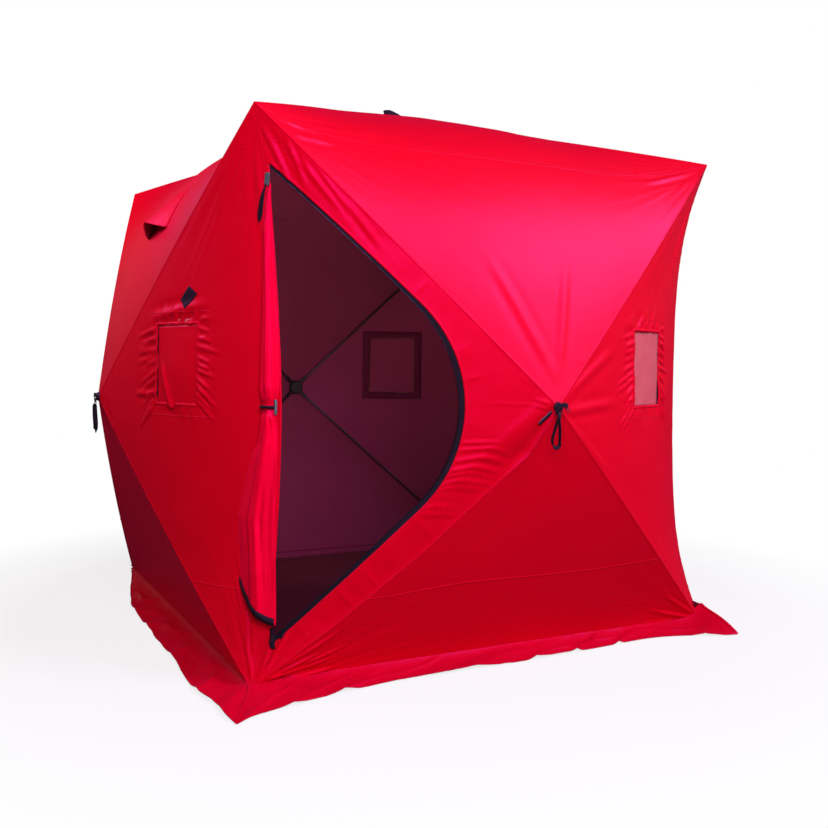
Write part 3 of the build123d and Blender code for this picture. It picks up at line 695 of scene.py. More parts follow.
def crease(start, end, height, width):
    """A fold between two places on the wall, with a shallow valley at each side."""
    def shape(panel, cut):
        ends = panel.flat(panel.seen_at([start, end]))
        run = ends[1] - ends[0]
        length = np.linalg.norm(run)
        away = cut - ends[0]
        along = away @ run / length ** 2
        side = (away[:, 0] * run[1] - away[:, 1] * run[0]) / length / width
        valleys = np.exp(-(side - VALLEY_OFF) ** 2) + np.exp(-(side + VALLEY_OFF) ** 2)
        profile = np.exp(-side ** 2) - VALLEY_DEPTH * valleys
        return height * profile * rise(along, -0.3, 0.3) * (1 - rise(along, 0.7, 1.3))
    return shape


def puckers(line, amount, wave, wide, seed):
    """Short folds square to a sewn line on the wall."""
    def shape(panel, cut):
        sewn = panel.flat(panel.seen_at(line))
        height = np.zeros(len(cut))
        low, high = sewn.min(axis=0) - 4 * wide, sewn.max(axis=0) + 4 * wide
        near = ((cut > low) & (cut < high)).all(axis=1)
        off, run = nearest(cut[near], sewn)
        height[near] = amount * pointed(hills(run / wave, off / (4 * wide), seed)) * np.exp(-off / wide)
        return height
    return shape


# ------------------------------------------------------------------ outlines on the wall
def arc_through(first, middle, last, count):
    """Points of a round arc through three points."""
    (ax, ay), (bx, by), (cx, cy) = first, middle, last
    d = 2 * (ax * (by - cy) + bx * (cy - ay) + cx * (ay - by))
    a2, b2, c2 = ax * ax + ay * ay, bx * bx + by * by, cx * cx + cy * cy
    centre = np.array([
        a2 * (by - cy) + b2 * (cy - ay) + c2 * (ay - by),
        a2 * (cx - bx) + b2 * (ax - cx) + c2 * (bx - ax),
    ]) / d
    angles = [np.arctan2(p[1] - centre[1], p[0] - centre[0]) for p in (first, middle, last)]
    sweep, part = ((angle - angles[0]) % (2 * pi) for angle in (angles[2], angles[1]))
    if part > sweep:
        sweep -= 2 * pi
    turn = angles[0] + np.linspace(0, sweep, count)
    radius = np.hypot(ax - centre[0], ay - centre[1])
    return centre + radius * np.column_stack([np.cos(turn), np.sin(turn)])


def zip_line(grow, spacing):
    """The zipped side of the doorway from its top to its foot, moved out by grow."""
    slant = 0.5 ** 0.5
    reach = DOOR_ARC_RADIUS * slant
    arc_middle = -DOOR_HUB_MARGIN - DOOR_ARC_RADIUS
    seam_end = -TOP_HALF + 2 * DOOR_SEAM_MARGIN
    run = arc_middle + reach - seam_end
    shift = grow * slant
    turn = arc_middle + reach + shift
    bend = reach + shift
    tall = bend + run
    nearest_hub = (grow - DOOR_HUB_MARGIN, HUB_HEIGHT)
    arc = arc_through((turn, HUB_HEIGHT + bend), nearest_hub, (turn, HUB_HEIGHT - bend), 60)
    top, foot = ([(seam_end + shift, HUB_HEIGHT + way * tall)] for way in (1, -1))
    return spaced(np.vstack([top, arc, foot]), spacing)


def seam_side(spacing):
    """The doorway's side along the corner seam, from its foot to its top."""
    zipped = zip_line(0, 0.05)
    middle = (corner_seam(0.5)[0, 0] + DOOR_SEAM_MARGIN, HUB_HEIGHT)
    return spaced(arc_through(zipped[-1], middle, zipped[0], 60), spacing)


def doorway(spacing):
    """The whole outline of the doorway."""
    return np.vstack([zip_line(0, spacing)[:-1], seam_side(spacing)[:-1]])


def window_corners(side, margin, margin_up=None):
    """Corners of a wall's window, or of a rectangle round it, from the lower left one."""
    x, z = WINDOW_SIGN[side] * WINDOW_OUT, WINDOW_HEIGHT_MIDDLE
    wide = WINDOW_HALF_WIDTH + margin
    tall = WINDOW_HALF_HEIGHT + (margin if margin_up is None else margin_up)
    return np.array([(x - wide, z - tall), (x + wide, z - tall), (x + wide, z + tall), (x - wide, z + tall)])


def window_outline(side, margin, spacing, margin_up=None):
    """Evenly spaced points of a window's hole, or of a rectangle round it."""
    return spaced(window_corners(side, margin, margin_up), spacing, closed=True)


# ------------------------------------------------------------------ the twenty panels of cloth
panels = {}
for quarter, side in enumerate(SIDES):
    for number, kind in enumerate(KINDS):
        taut = 0.5 if kind in ("upper", "lower") else 0.9
        panels[side, kind] = Panel(kind, quarter, seed=31 * quarter + 7 * number + 3, strength=taut)

window_panels = {side: panels[side, "right" if sign > 0 else "left"] for side, sign in WINDOW_SIGN.items()}
front_left, front_right = panels["front", "left"], panels["front", "right"]
left_right = panels["left", "right"]
front_left.folds += [
    # long folds fan down from the top corner over the doorway
    crease((-0.859, 1.681), (-0.802, 1.570), 0.0045, 0.0075),
    crease((-0.835, 1.650), (-0.775, 1.510), 0.0050, 0.0080),
    crease((-0.800, 1.650), (-0.742, 1.520), 0.0040, 0.0075),
    crease((-0.745, 1.570), (-0.655, 1.455), 0.0050, 0.0080),
    crease((-0.710, 1.560), (-0.625, 1.440), 0.0040, 0.0075),
    crease((-0.640, 1.480), (-0.545, 1.350), 0.0040, 0.0090),
    puckers(zip_line(0.03, 0.05), 0.0014, 0.055, 0.030, 201),
    # short level folds between the zip and the slack rod
    crease((-0.300, 0.744), (-0.190, 0.746), 0.0032, 0.0055),
    crease((-0.305, 0.722), (-0.187, 0.731), 0.0040, 0.0052),
    crease((-0.315, 0.688), (-0.198, 0.706), 0.0042, 0.0050),
    crease((-0.330, 0.657), (-0.216, 0.681), 0.0046, 0.0048),
    crease((-0.340, 0.640), (-0.224, 0.666), 0.0036, 0.0044),
    crease((-0.350, 0.617), (-0.240, 0.648), 0.0042, 0.0048),
    crease((-0.358, 0.600), (-0.253, 0.632), 0.0032, 0.0044),
    crease((-0.405, 0.543), (-0.338, 0.566), 0.0036, 0.0046),
    crease((-0.412, 0.527), (-0.344, 0.552), 0.0036, 0.0046),
    # gathers beside the hub, and the valley below its arm
    crease((-0.210, 0.866), (-0.070, 0.862), 0.0016, 0.0040),
    crease((-0.075, 0.878), (-0.022, 0.864), 0.0030, 0.0045),
    crease((-0.070, 0.858), (-0.022, 0.853), 0.0032, 0.0042),
    crease((-0.062, 0.838), (-0.020, 0.846), 0.0026, 0.0040),
    crease((-0.002, 0.853), (-0.170, 0.699), -0.0150, 0.0185),
]
panels["front", "upper"].folds += [
    crease((-0.806, 1.711), (-0.656, 1.697), 0.0045, 0.010),
    crease((-0.762, 1.665), (-0.642, 1.658), 0.004, 0.012),
    crease((0.62, 1.66), (0.80, 1.71), 0.004, 0.012),
    crease((-0.02, 1.00), (-0.16, 1.28), 0.0035, 0.016),
    crease((0.03, 1.00), (0.11, 1.30), 0.0035, 0.016),
]
PLEAT_START, PLEAT_WIDTH = 0.03, 0.0055
ROD_TURN = 0.74                 # pleats that turn less than this lie below the front's left rod


def pleat(luck, corner, turn_out, reaches, heights):
    """A fold that runs out from a corner on the ground, with random reach and height."""
    way = np.array([cos(turn_out), sin(turn_out)])
    start = corner + PLEAT_START * way
    reach = luck.uniform(*reaches)
    return crease(start, start + reach * way, luck.uniform(*heights), PLEAT_WIDTH)


# pleats gathered at the front left corner of the ground, on the left wall
pleat_luck = np.random.default_rng(57)
for step in range(9):
    turn_out = radians(91 + 3.4 * step)
    left_right.folds.append(pleat(pleat_luck, (0.884, 0.028), turn_out, (0.17, 0.30), (0.006, 0.009)))
# and on the front wall, at the foot of its left rod
for step in range(6):
    turn_out = radians(14 + 11 * step)
    fan = panels["front", "lower"] if turn_out < ROD_TURN else front_left
    fan.folds.append(pleat(pleat_luck, (-0.880, 0.022), turn_out, (0.12, 0.22), (0.005, 0.008)))
panels["front", "lower"].folds += [
    crease((-0.860, 0.012), (-0.660, 0.034), 0.0060, 0.0070),
    crease((-0.870, 0.022), (-0.640, 0.110), 0.0050, 0.0065),
    crease((0.870, 0.018), (0.660, 0.070), 0.0050, 0.0065),
    crease((0.868, 0.030), (0.700, 0.120), 0.0045, 0.0060),
    crease((0.872, 0.012), (0.640, 0.028), 0.0040, 0.0060),
]
front_right.folds += [
    crease((0.05, 0.90), (0.25, 1.02), 0.004, 0.015),
    crease((0.05, 0.84), (0.26, 0.86), 0.004, 0.014),
    crease((0.04, 0.80), (0.22, 0.66), 0.0035, 0.015),
    crease((0.70, 1.35), (0.80, 1.60), 0.004, 0.013),
]
left_right.folds += [
    crease((0.831, 1.562), (0.81, 1.36), 0.0045, 0.012),
    crease((0.40, 1.135), (0.60, 1.165), 0.0065, 0.015),
    crease((0.30, 0.875), (0.415, 0.880), 0.006, 0.009),
    crease((0.33, 1.045), (0.405, 1.060), 0.0045, 0.008),
    crease((0.31, 1.015), (0.405, 1.025), 0.0045, 0.008),
]


def window_folds(side, quarter):
    """The hem's thread gathers the cloth: short sharp folds run out from a window's upright edges, and
    fan near its foot."""
    sign, luck = WINDOW_SIGN[side], np.random.default_rng(90 + quarter)
    inner, outer = (sign * (WINDOW_OUT + way * WINDOW_HALF_WIDTH) for way in (-1, 1))
    top, foot = (WINDOW_HEIGHT_MIDDLE + way * WINDOW_HALF_HEIGHT for way in (1, -1))
    folds = []
    for edge, way, reach in ((inner, -sign, 0.085), (outer, sign, 0.075)):
        height = top - 0.010
        while height > foot - 0.012:
            low = rise(WINDOW_HEIGHT_MIDDLE + 0.02 - height, 0.0, 0.14)
            length = reach * luck.uniform(0.45, 1.1)
            fall = 0.010 + length * (0.15 + 0.75 * low) - luck.uniform(-0.008, 0.008)
            start, end = (edge + way * 0.008, height), (edge + way * (0.008 + length), height - fall)
            folds.append(crease(start, end, luck.uniform(0.0026, 0.0058), luck.uniform(0.0050, 0.0080)))
            height -= luck.uniform(0.020, 0.036)
    for share in (0.12, 0.42, 0.62, 0.93):
        start = (inner + (outer - inner) * share, top + 0.008)
        end = (start[0] + luck.uniform(-0.012, 0.03) * sign, top + luck.uniform(0.035, 0.065))
        folds.append(crease(start, end, luck.uniform(0.003, 0.005), 0.0085))
    return folds


for quarter, side in enumerate(SIDES):
    window_panels[side].folds += [
        puckers(window_outline(side, 0.03, 0.04), 0.0030, 0.05, 0.028, 301 + quarter),
        puckers(window_outline(side, 0.0, 0.04), 0.0022, 0.03, 0.016, 401 + quarter),
    ]
    window_panels[side].folds += window_folds(side, quarter)

CAD_NODES = {kind: "roof_{}" if kind == "roof" else "{}_wall_" + kind for kind in KINDS}
near_spacing, rest_spacing = ((FINE, COARSE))
for (side, kind), panel in panels.items():
    near = kind != "roof" and (side in ("front", "left") or (side, kind) == ("right", "upper"))
    spacing = near_spacing if near else rest_spacing
    holes, nodes = [], [CAD_NODES[kind].format(side)]
    if panel is front_left:
        holes.append(doorway(spacing))
        parts = ("over_door", "under_door", "door_seam_side", "door_hub_side")
        nodes = ["front_wall_" + part for part in parts]
    if panel is window_panels[side]:
        holes.append(window_outline(side, 0.0, spacing))
    made = panel_object("cloth_" + CAD_NODES[kind].format(side), panel, spacing, holes)
    part_of_hut(made, "shell_cloth", *nodes)


# ------------------------------------------------------------------ rods, hubs and sockets
def tube(name, line, radius, material, sides=12, capped=True):
    """A round bar along a line."""
    line = np.asarray(line, float)
    runs = headings(line)
    start = np.cross(runs[0], UP if abs(runs[0] @ UP) < 0.9 else np.array([1.0, 0, 0]))
    angles = np.linspace(0, 2 * pi, sides, endpoint=False)
    points, cuts = [], []
    for centre, run, length in zip(line, runs, lengths_along(line)):
        start = squared(start, run)
        other = np.cross(run, start)
        ring = np.outer(np.cos(angles), start) + np.outer(np.sin(angles), other)
        points.append(centre + radius * ring)
        cuts.append(np.column_stack([np.full(sides, length), angles * radius]))
    faces = []
    for base in range(0, (len(line) - 1) * sides, sides):
        for i in range(sides):
            j = (i + 1) % sides
            faces.append((base + i, base + j, base + sides + j, base + sides + i))
    smooth = [True] * len(faces)
    if capped:
        last = (len(line) - 1) * sides
        faces += [tuple(range(sides - 1, -1, -1)), tuple(range(last, last + sides))]
        smooth += [False, False]
    points, cuts = np.concatenate(points), np.concatenate(cuts)
    return new_object(name, points, faces, [material], cut=cuts, smooth=smooth)


ROD_START_AT_HUB, ROD_START_AT_CORNER = 0.022, 0.010
TOP_SOCKET = TOP_LEFT + np.array([CORNER_DEPTH, CORNER_DEPTH, -CORNER_DEPTH])
GROUND_SOCKET = GROUND_LEFT + np.array([CORNER_DEPTH, CORNER_DEPTH, GROUND_SOCKET_HEIGHT])
WALL_SEAT = FRONT_HUB + np.array([0, ROD_DEPTH_HUB, 0])
ROOF_SEAT = ROOF_HUB - np.array([0, 0, ROD_DEPTH_HUB])


def bowed_rod(seat, end, outward):
    """The line of a rod from its hub to its corner, bent outwards by the cloth that it stretches."""
    length = np.linalg.norm(end - seat)
    low, high = ROD_START_AT_HUB / length, 1 - ROD_START_AT_CORNER / length
    share = np.linspace(low, high, 25)
    # straight in the sockets at both ends, then bowed like the cloth over it
    bow = 0.8 * ROD_BOW * np.sin(pi * rise(share, low, high)) ** 2
    return seat + share[:, None] * (end - seat) + bow[:, None] * outward


rod_pieces = []
for quarter in range(4):
    for end in (TOP_SOCKET, GROUND_SOCKET, turned(TOP_SOCKET, 1), turned(GROUND_SOCKET, 1)):
        line = turned(bowed_rod(WALL_SEAT, end, OUTWARD), quarter)
        rod_pieces.append(tube("rod", line, ROD_RADIUS, FIBREGLASS))
    line = bowed_rod(ROOF_SEAT, turned(TOP_SOCKET, quarter), UP)
    rod_pieces.append(tube("rod", line, ROD_RADIUS, FIBREGLASS))
part_of_hut(joined("bowed_rods", rod_pieces), "rod_fibreglass", "rods")

CAP_SCALE = 0.62             # size of the caps and bails outside the cloth, to that of the sockets inside


def dressed(node, material):
    """Shows a CAD node in a material."""
    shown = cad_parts[node].data.materials
    shown.clear()
    shown.append(material)


CAP_REACH = 0.06             # no point of a cap is farther from the middle of its hub
CAP_LIFT = 0.004             # the most that a cap's points are lifted as they move in


def slim_wall_hubs():
    """The four wall hubs with small caps and bails outside the cloth."""
    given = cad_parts["wall_hubs"]
    made = given.copy()
    made.data = given.data.copy()
    made.name = "moulded_wall_hubs"
    made.parent = None
    bpy.context.scene.collection.objects.link(made)
    place = np.array(given.matrix_world)
    made.matrix_world = Matrix.Identity(4)
    points = np.empty(len(made.data.vertices) * 3)
    made.data.vertices.foreach_get("co", points)
    points = points.reshape(-1, 3) @ place[:3, :3].T + place[:3, 3]
    for quarter in range(4):
        middle, out = turned(FRONT_HUB, quarter), turned(OUTWARD, quarter)
        away = points - middle
        height = away @ out
        flat = away - height[:, None] * out
        radius = np.linalg.norm(flat, axis=1)
        # the cloth falls away from the hub, so what lies outside it is told by a cone
        cap = (radius < CAP_REACH) & (height > -0.35 * radius - 0.0017)
        height += np.minimum(0.3 * radius * (1 - CAP_SCALE), CAP_LIFT)
        points[cap] = (middle + flat * CAP_SCALE + height[:, None] * out)[cap]
    made.data.vertices.foreach_set("co", points.ravel())
    made.data.update()
    made.data.materials.clear()
    made.data.materials.append(NYLON)
    part_of_hut(made, "hub_plastic", "wall_hubs")


slim_wall_hubs()
for node in ("roof_hub", "top_corner_sockets", "ground_corner_sockets"):
    dressed(node, NYLON)


# ------------------------------------------------------------------ seams: tape, stitches
def row_tree(name, sizes, material, shape):
    """Geometry Nodes: small pieces at even steps along every line of a mesh of edges, each turned
    along it. The sizes have their default values, and shape makes one piece from them."""
    tree = bpy.data.node_groups.new(name, "GeometryNodeTree")
    face = tree.interface
    face.new_socket("Geometry", in_out="INPUT", socket_type="NodeSocketGeometry")
    for key, value in sizes.items():
        face.new_socket(key, in_out="INPUT", socket_type="NodeSocketFloat").default_value = value
    face.new_socket(material, in_out="INPUT", socket_type="NodeSocketMaterial")
    face.new_socket("Geometry", in_out="OUTPUT", socket_type="NodeSocketGeometry")
    given = add_node(tree, "NodeGroupInput").outputs
    lines = add_node(tree, "GeometryNodeMeshToCurve", {"Mesh": given["Geometry"]}).outputs[0]
    stepped = {"Curve": lines, "Length": given["Pitch"]}
    steps = add_node(tree, "GeometryNodeResampleCurve", stepped, mode="LENGTH")
    run = add_node(tree, "GeometryNodeInputTangent").outputs[0]
    turn = add_node(tree, "FunctionNodeAlignRotationToVector", {"Vector": run}, axis="X")
    inputs = {"Points": steps.outputs[0], "Rotation": turn.outputs[0], **shape(tree, given)}
    placed = add_node(tree, "GeometryNodeInstanceOnPoints", inputs)
    real = add_node(tree, "GeometryNodeRealizeInstances", {"Geometry": placed.outputs[0]})
    dyed = {"Geometry": real.outputs[0], "Material": given[material]}
    coated = add_node(tree, "GeometryNodeSetMaterial", dyed)
    add_node(tree, "NodeGroupOutput", {"Geometry": coated.outputs[0]})
    return tree


def stitch_shape(tree, given):
    """A bead of thread, stretched to a stitch."""
    bead = add_node(tree, "GeometryNodeMeshUVSphere", {"Segments": 4, "Rings": 2, "Radius": 0.5})
    length, width = given["Stitch Length"], given["Thread Width"]
    size = add_node(tree, "ShaderNodeCombineXYZ", {"X": length, "Y": width, "Z": width})
    return {"Instance": bead.outputs[0], "Scale": size.outputs[0]}


def tooth_shape(tree, given):
    """A block that lies square to the line."""
    sizes = {"X": given["Tooth Width"], "Y": given["Tooth Length"], "Z": given["Tooth Height"]}
    size = add_node(tree, "ShaderNodeCombineXYZ", sizes)
    return {"Instance": add_node(tree, "GeometryNodeMeshCube", {"Size": size.outputs[0]}).outputs[0]}


def grown(name, tree, lines, inputs):
    """A plain mesh that a tree grows along lines of points."""
    points, edges, base = [], [], 0
    for line in lines:
        points.append(line)
        edges += [(base + k, base + k + 1) for k in range(len(line) - 1)]
        base += len(line)
    mesh = bpy.data.meshes.new(name)
    mesh.from_pydata(np.concatenate(points).tolist(), edges, [])
    made = bpy.data.objects.new(name, mesh)
    bpy.context.scene.collection.objects.link(made)
    modifier = made.modifiers.new("grow", "NODES")
    modifier.node_group = tree
    names = {item.name: item.identifier for item in tree.interface.items_tree if item.in_out == "INPUT"}
    for key, value in inputs.items():
        modifier[names[key]] = value
    return settled(made)


STITCHES = row_tree(
    "stitches_along_lines", {"Pitch": 0.006, "Stitch Length": 0.0042, "Thread Width": 0.0008},
    "Thread", stitch_shape,
)
TEETH_ROW = row_tree(
    "zip_teeth_along_line",
    {"Pitch": 0.0025, "Tooth Length": 0.0052, "Tooth Width": 0.0016, "Tooth Height": 0.0024},
    "Plastic", tooth_shape,
)
stitch_lines = []


def edge_rows(panel, opposite, offsets, steps):
    """Rows of shares at distances from the edge opposite a corner."""
    first, second = [k for k in range(3) if k != opposite]
    far = panel.heights()[opposite]
    run = np.linspace(0, 1, steps)
    rows = []
    for off in offsets:
        row = np.zeros((steps, 3))
        row[:, opposite] = off / far
        row[:, first] = (1 - off / far) * (1 - run)
        row[:, second] = (1 - off / far) * run
        rows.append(row)
    return rows


SEAM_EDGE = 0.0006              # width of a seam's rounded edge
seam_offsets = (0.0001, SEAM_HALF_WIDTH * 0.75, SEAM_HALF_WIDTH, SEAM_HALF_WIDTH + SEAM_EDGE)
seam_steps = 110
seam_pieces = []
for (side, kind), panel in panels.items():
    for opposite in range(3):
        if kind == "lower" and opposite == 1:
            continue                                    # the foot has its own hem
        rows = edge_rows(panel, opposite, seam_offsets, seam_steps)
        seam_pieces.append(band("seam", panel, rows, (0.0004, 0.0004, 0.0002, -0.0006), SHELL))
        stitched = edge_rows(panel, opposite, (SEAM_HALF_WIDTH * 0.62,), seam_steps)[0][1:-1]
        stitch_lines.append(panel.place(stitched, 0.0005))
part_of_hut(joined("felled_seams", seam_pieces), "shell_cloth")


def offset_rows(panel, line, offsets):
    """Rows along a line on the wall, moved square to it: each offset is one number, or one for each point."""
    run = headings(line)
    square = np.column_stack([-run[:, 1], run[:, 0]])
    return [panel.seen_at(line + np.reshape(off, (-1, 1)) * square) for off in offsets]


def sewn_line(panel, line, half_width, lift, closed=False):
    """A narrow raised seam with stitches along a line on the wall."""
    line = np.vstack([line, line[:1]]) if closed else line
    wide = half_width + SEAM_EDGE
    rows = offset_rows(panel, line, (-wide, -half_width, half_width, wide))
    stitch_lines.append(panel.place(panel.seen_at(line), lift + 0.0003))
    return band("sewn_line", panel, rows, (-0.0006, lift, lift, -0.0006), SHELL)


# ------------------------------------------------------------------ windows
def ring_band(name, panel, side, margins, lifts, material):
    """A frame round a window, through margins from its hole."""
    share = np.linspace(0, 1, 40, endpoint=False)[:, None]
    rows = []
    for margin in margins:
        corners = window_corners(side, margin)
        edges = [a + (b - a) * share for a, b in zip(corners, np.roll(corners, -1, axis=0))]
        rows.append(panel.seen_at(np.concatenate(edges + [corners[:1]])))
    return band(name, panel, rows, lifts, material)


def between(corners, u, v):
    """Places between four corners: u is the share of the way to the second, v to the last."""
    a, b, c, d = corners
    u, v = u[:, None], v[:, None]
    return (1 - u) * (1 - v) * a + u * (1 - v) * b + u * v * c + (1 - u) * v * d


def patch_on(name, panel, corners, steps, shape, material):
    """A sheet over four places on the wall, at the height that shape gives."""
    u, v = grid_shares(steps, steps)
    shares = panel.seen_at(between(corners, u, v))
    points = panel.place(shares, shape(u, v), wrinkled=False)
    out = turned(panel.normals(shares[:1]), panel.quarter)[0]
    faces = faced(points, quads(steps, steps), out)
    return new_object(name, points, faces, [material], cut=panel.flat(shares))


def film_shape(seed, slack):
    """The height of a window's film, which hangs a little slack between its bands."""
    def shape(u, v):
        return -0.0046 + slack * hills(u * 3 + 0.3, v * 4 + 0.2, seed) * np.sin(pi * u) * np.sin(pi * v)
    return shape


PANE_MARGIN, COVER_MARGIN = 0.02, 0.016
hem_pieces, frame_pieces, band_pieces, pane_pieces = [], [], [], []
for quarter, side in enumerate(SIDES):
    panel = window_panels[side]
    margins, lifts = (-0.0005, 0.0015, 0.0095, 0.0105), (-0.0018, 0.0012, 0.0010, -0.0006)
    hem_pieces.append(ring_band("hem", panel, side, margins, lifts, SHELL))
    line = window_outline(side, 0.006, 0.012)
    stitch_lines.append(panel.place(panel.seen_at(np.vstack([line, line[:1]])), 0.0014))
    outer = window_outline(side, 0.055, 0.012, margin_up=0.042)
    hem_pieces.append(sewn_line(panel, outer, 0.0016, 0.0004, closed=True))
    margins, lifts = (0.018, 0.022, 0.052, 0.054), (-0.0035, -0.0062, -0.0062, -0.0035)
    frame_pieces.append(ring_band("inner_frame", panel, side, margins, lifts, WINDOW_LINING))
    margins, lifts = (-0.002, -0.002, 0.022, 0.022), (-0.0055, -0.0042, -0.0042, -0.0055)
    band_pieces.append(ring_band("fastening", panel, side, margins, lifts, WEBBING))
    film = film_shape(71 + quarter, 0.0012 if side == "left" else 0.0022)
    pane_pieces.append(patch_on("film", panel, window_corners(side, PANE_MARGIN), 40, film, FILM))
hems = joined("window_hems", hem_pieces)
part_of_hut(hems, "shell_cloth")
frames = joined("window_inner_frames", frame_pieces)
thickened(frames, PATCH_THICKNESS)
part_of_hut(frames, "shell_cloth")
bands = joined("window_fastening_bands", band_pieces)
part_of_hut(bands, "black_webbing", "window_bands")
panes = joined("window_films", pane_pieces)
thickened(panes, 0.0006)
part_of_hut(panes, "window_film", "window_panes")

# how far the left window's cover has slipped: its top edge and its edge away from the door hang clear
# of the hole
SLIPPED = np.array([(0.0175, 0.0), (0.0, 0.0), (-0.002, -0.0185), (0.0185, -0.0195)])


def slipped_shape(u, v):
    """The slipped cover: one fold from the far edge at half height down to the foot, and slack beside it."""
    fold = u - 0.08 - 0.50 * (0.62 - v)
    ridge = 0.010 * np.exp(-(fold / 0.045) ** 2) * rise(0.66 - v, 0.0, 0.25)
    soft = 0.0035 * hills(u * 2.2, v * 2.6, 97) + 0.004 * np.sin(pi * u) * np.sin(pi * v)
    return -0.0032 + (ridge + soft) * np.clip(6 * u * (1 - u), 0, 1) * np.clip(5 * (1.06 - v), 0, 1)


def closed_shape(quarter):
    """The height of a closed cover, which is soft between its bands."""
    def shape(u, v):
        soft = 0.003 * hills(u * 2.4, v * 3.1, 83 + quarter)
        soft = soft + 0.0016 * pointed(hills(u * 6, v * 4, 87 + quarter))
        return -0.0085 + soft * np.sin(pi * u) * np.sin(pi * v)
    return shape


cover_pieces = []
for quarter, side in enumerate(SIDES):
    corners, shape = window_corners(side, COVER_MARGIN), closed_shape(quarter)
    if side == "left":
        corners, shape = corners + SLIPPED, slipped_shape
    cover = patch_on("cover", window_panels[side], corners, 56, shape, SHELL)
    cover.data.materials.append(LINING)
    cover_pieces.append(thickened(cover, PATCH_THICKNESS, inner_slot=1))
covers = joined("window_cover_cloths", cover_pieces)
part_of_hut(covers, "shell_cloth", "window_covers")


# ------------------------------------------------------------------ doorway: zip, binding, slider
door_spacing = 0.008
door_line = zip_line(0.0, door_spacing)
along_door = np.linspace(0, 1, len(door_line))
# how far the tape stands in from the cloth: it is drawn flat at the round middle and curls back at the top
tape_places = (0, 0.2, 0.42, 0.6, 0.85, 1)
tape_reach = np.interp(along_door, tape_places, (0.0085, 0.0100, 0.0195, 0.0190, 0.0130, 0.0125))
rows = offset_rows(front_left, door_line, (0.009, 0.007, -0.5 * tape_reach, -tape_reach))
zip_tape = band("door_zip_tape", front_left, rows, (-0.0018, -0.0016, -0.0016, -0.0028), TAPE)
thickened(zip_tape, 0.0009)
rows = offset_rows(front_left, door_line, (-0.0004, 0.0008, 0.0060, 0.0068))
zip_fold = band("zip_turned_edge", front_left, rows, (-0.0008, 0.0009, 0.0007, -0.0006), SHELL)
part_of_hut(zip_fold, "shell_cloth")
stitched, toothed = offset_rows(front_left, door_line, (0.0042, 0.0016 - tape_reach))
stitch_lines.append(front_left.place(stitched[2:-2], 0.0010))
tooth_sizes = {"Plastic": TEETH, "Pitch": 0.0032, "Tooth Length": 0.0042}
teeth = grown("zip_teeth", TEETH_ROW, [front_left.place(toothed, -0.0012)], tooth_sizes)
part_of_hut(teeth, "zip_tape")
part_of_hut(zip_tape, "zip_tape", "door_zip")
# the tape's end hangs out below the foot of the doorway
tail_x = np.linspace(-0.826, -0.831, 12)
tail_z = np.linspace(0.176, 0.116, 12)
rows = [front_left.seen_at(np.column_stack([tail_x + off, tail_z])) for off in (-0.0055, 0.0, 0.0050)]
tail = band("zip_tape_tail", front_left, rows, (0.0022, 0.0030, 0.0024), TAPE)
thickened(tail, 0.0012, way=0.0)
part_of_hut(tail, "zip_tape")

for node in ("door_zip_slider", "door_tie_toggle"):
    dressed(node, SLIDER_METAL)

# ------------------------------------------------------------------ tied-back door
FLAP_TIE_SHARE = 0.512
FLAP_GAP = 0.003
# share of the seam from the top, half width, half depth, shift to the left wall, depth of a pleat
FLAP_FORM = np.array([
    (0.128, 0.002, 0.002, -0.018, 0.2),
    (0.150, 0.006, 0.004, -0.010, 0.5),
    (0.200, 0.014, 0.008, -0.001, 0.7),
    (0.260, 0.0165, 0.011, -0.001, 0.8),
    (0.330, 0.021, 0.013, 0.000, 0.9),
    (0.400, 0.027, 0.015, -0.001, 0.9),
    (0.450, 0.029, 0.016, -0.002, 0.9),
    (0.480, 0.029, 0.016, -0.002, 0.9),
    (0.497, 0.025, 0.014, -0.002, 0.7),
    (0.505, 0.0205, 0.011, -0.001, 0.25),
    (0.519, 0.0205, 0.011, -0.001, 0.25),
    (0.530, 0.0245, 0.014, -0.001, 0.7),
    (0.545, 0.027, 0.016, -0.001, 1.0),
    (0.575, 0.033, 0.018, 0.003, 1.0),
    (0.600, 0.047, 0.019, 0.016, 1.0),
    (0.670, 0.068, 0.021, 0.038, 1.0),
    (0.710, 0.078, 0.024, 0.048, 1.0),
    (0.740, 0.072, 0.025, 0.040, 1.0),
    (0.800, 0.064, 0.025, 0.027, 0.9),
    (0.850, 0.066, 0.020, 0.022, 0.7),
    (0.893, 0.069, 0.014, 0.018, 0.4),
])
LAYERS = 4                   # the door's cloth lies folded to and fro in this many layers
FOLDED_SHARE = 0.88          # share of its width that they take up; the rest is folded in


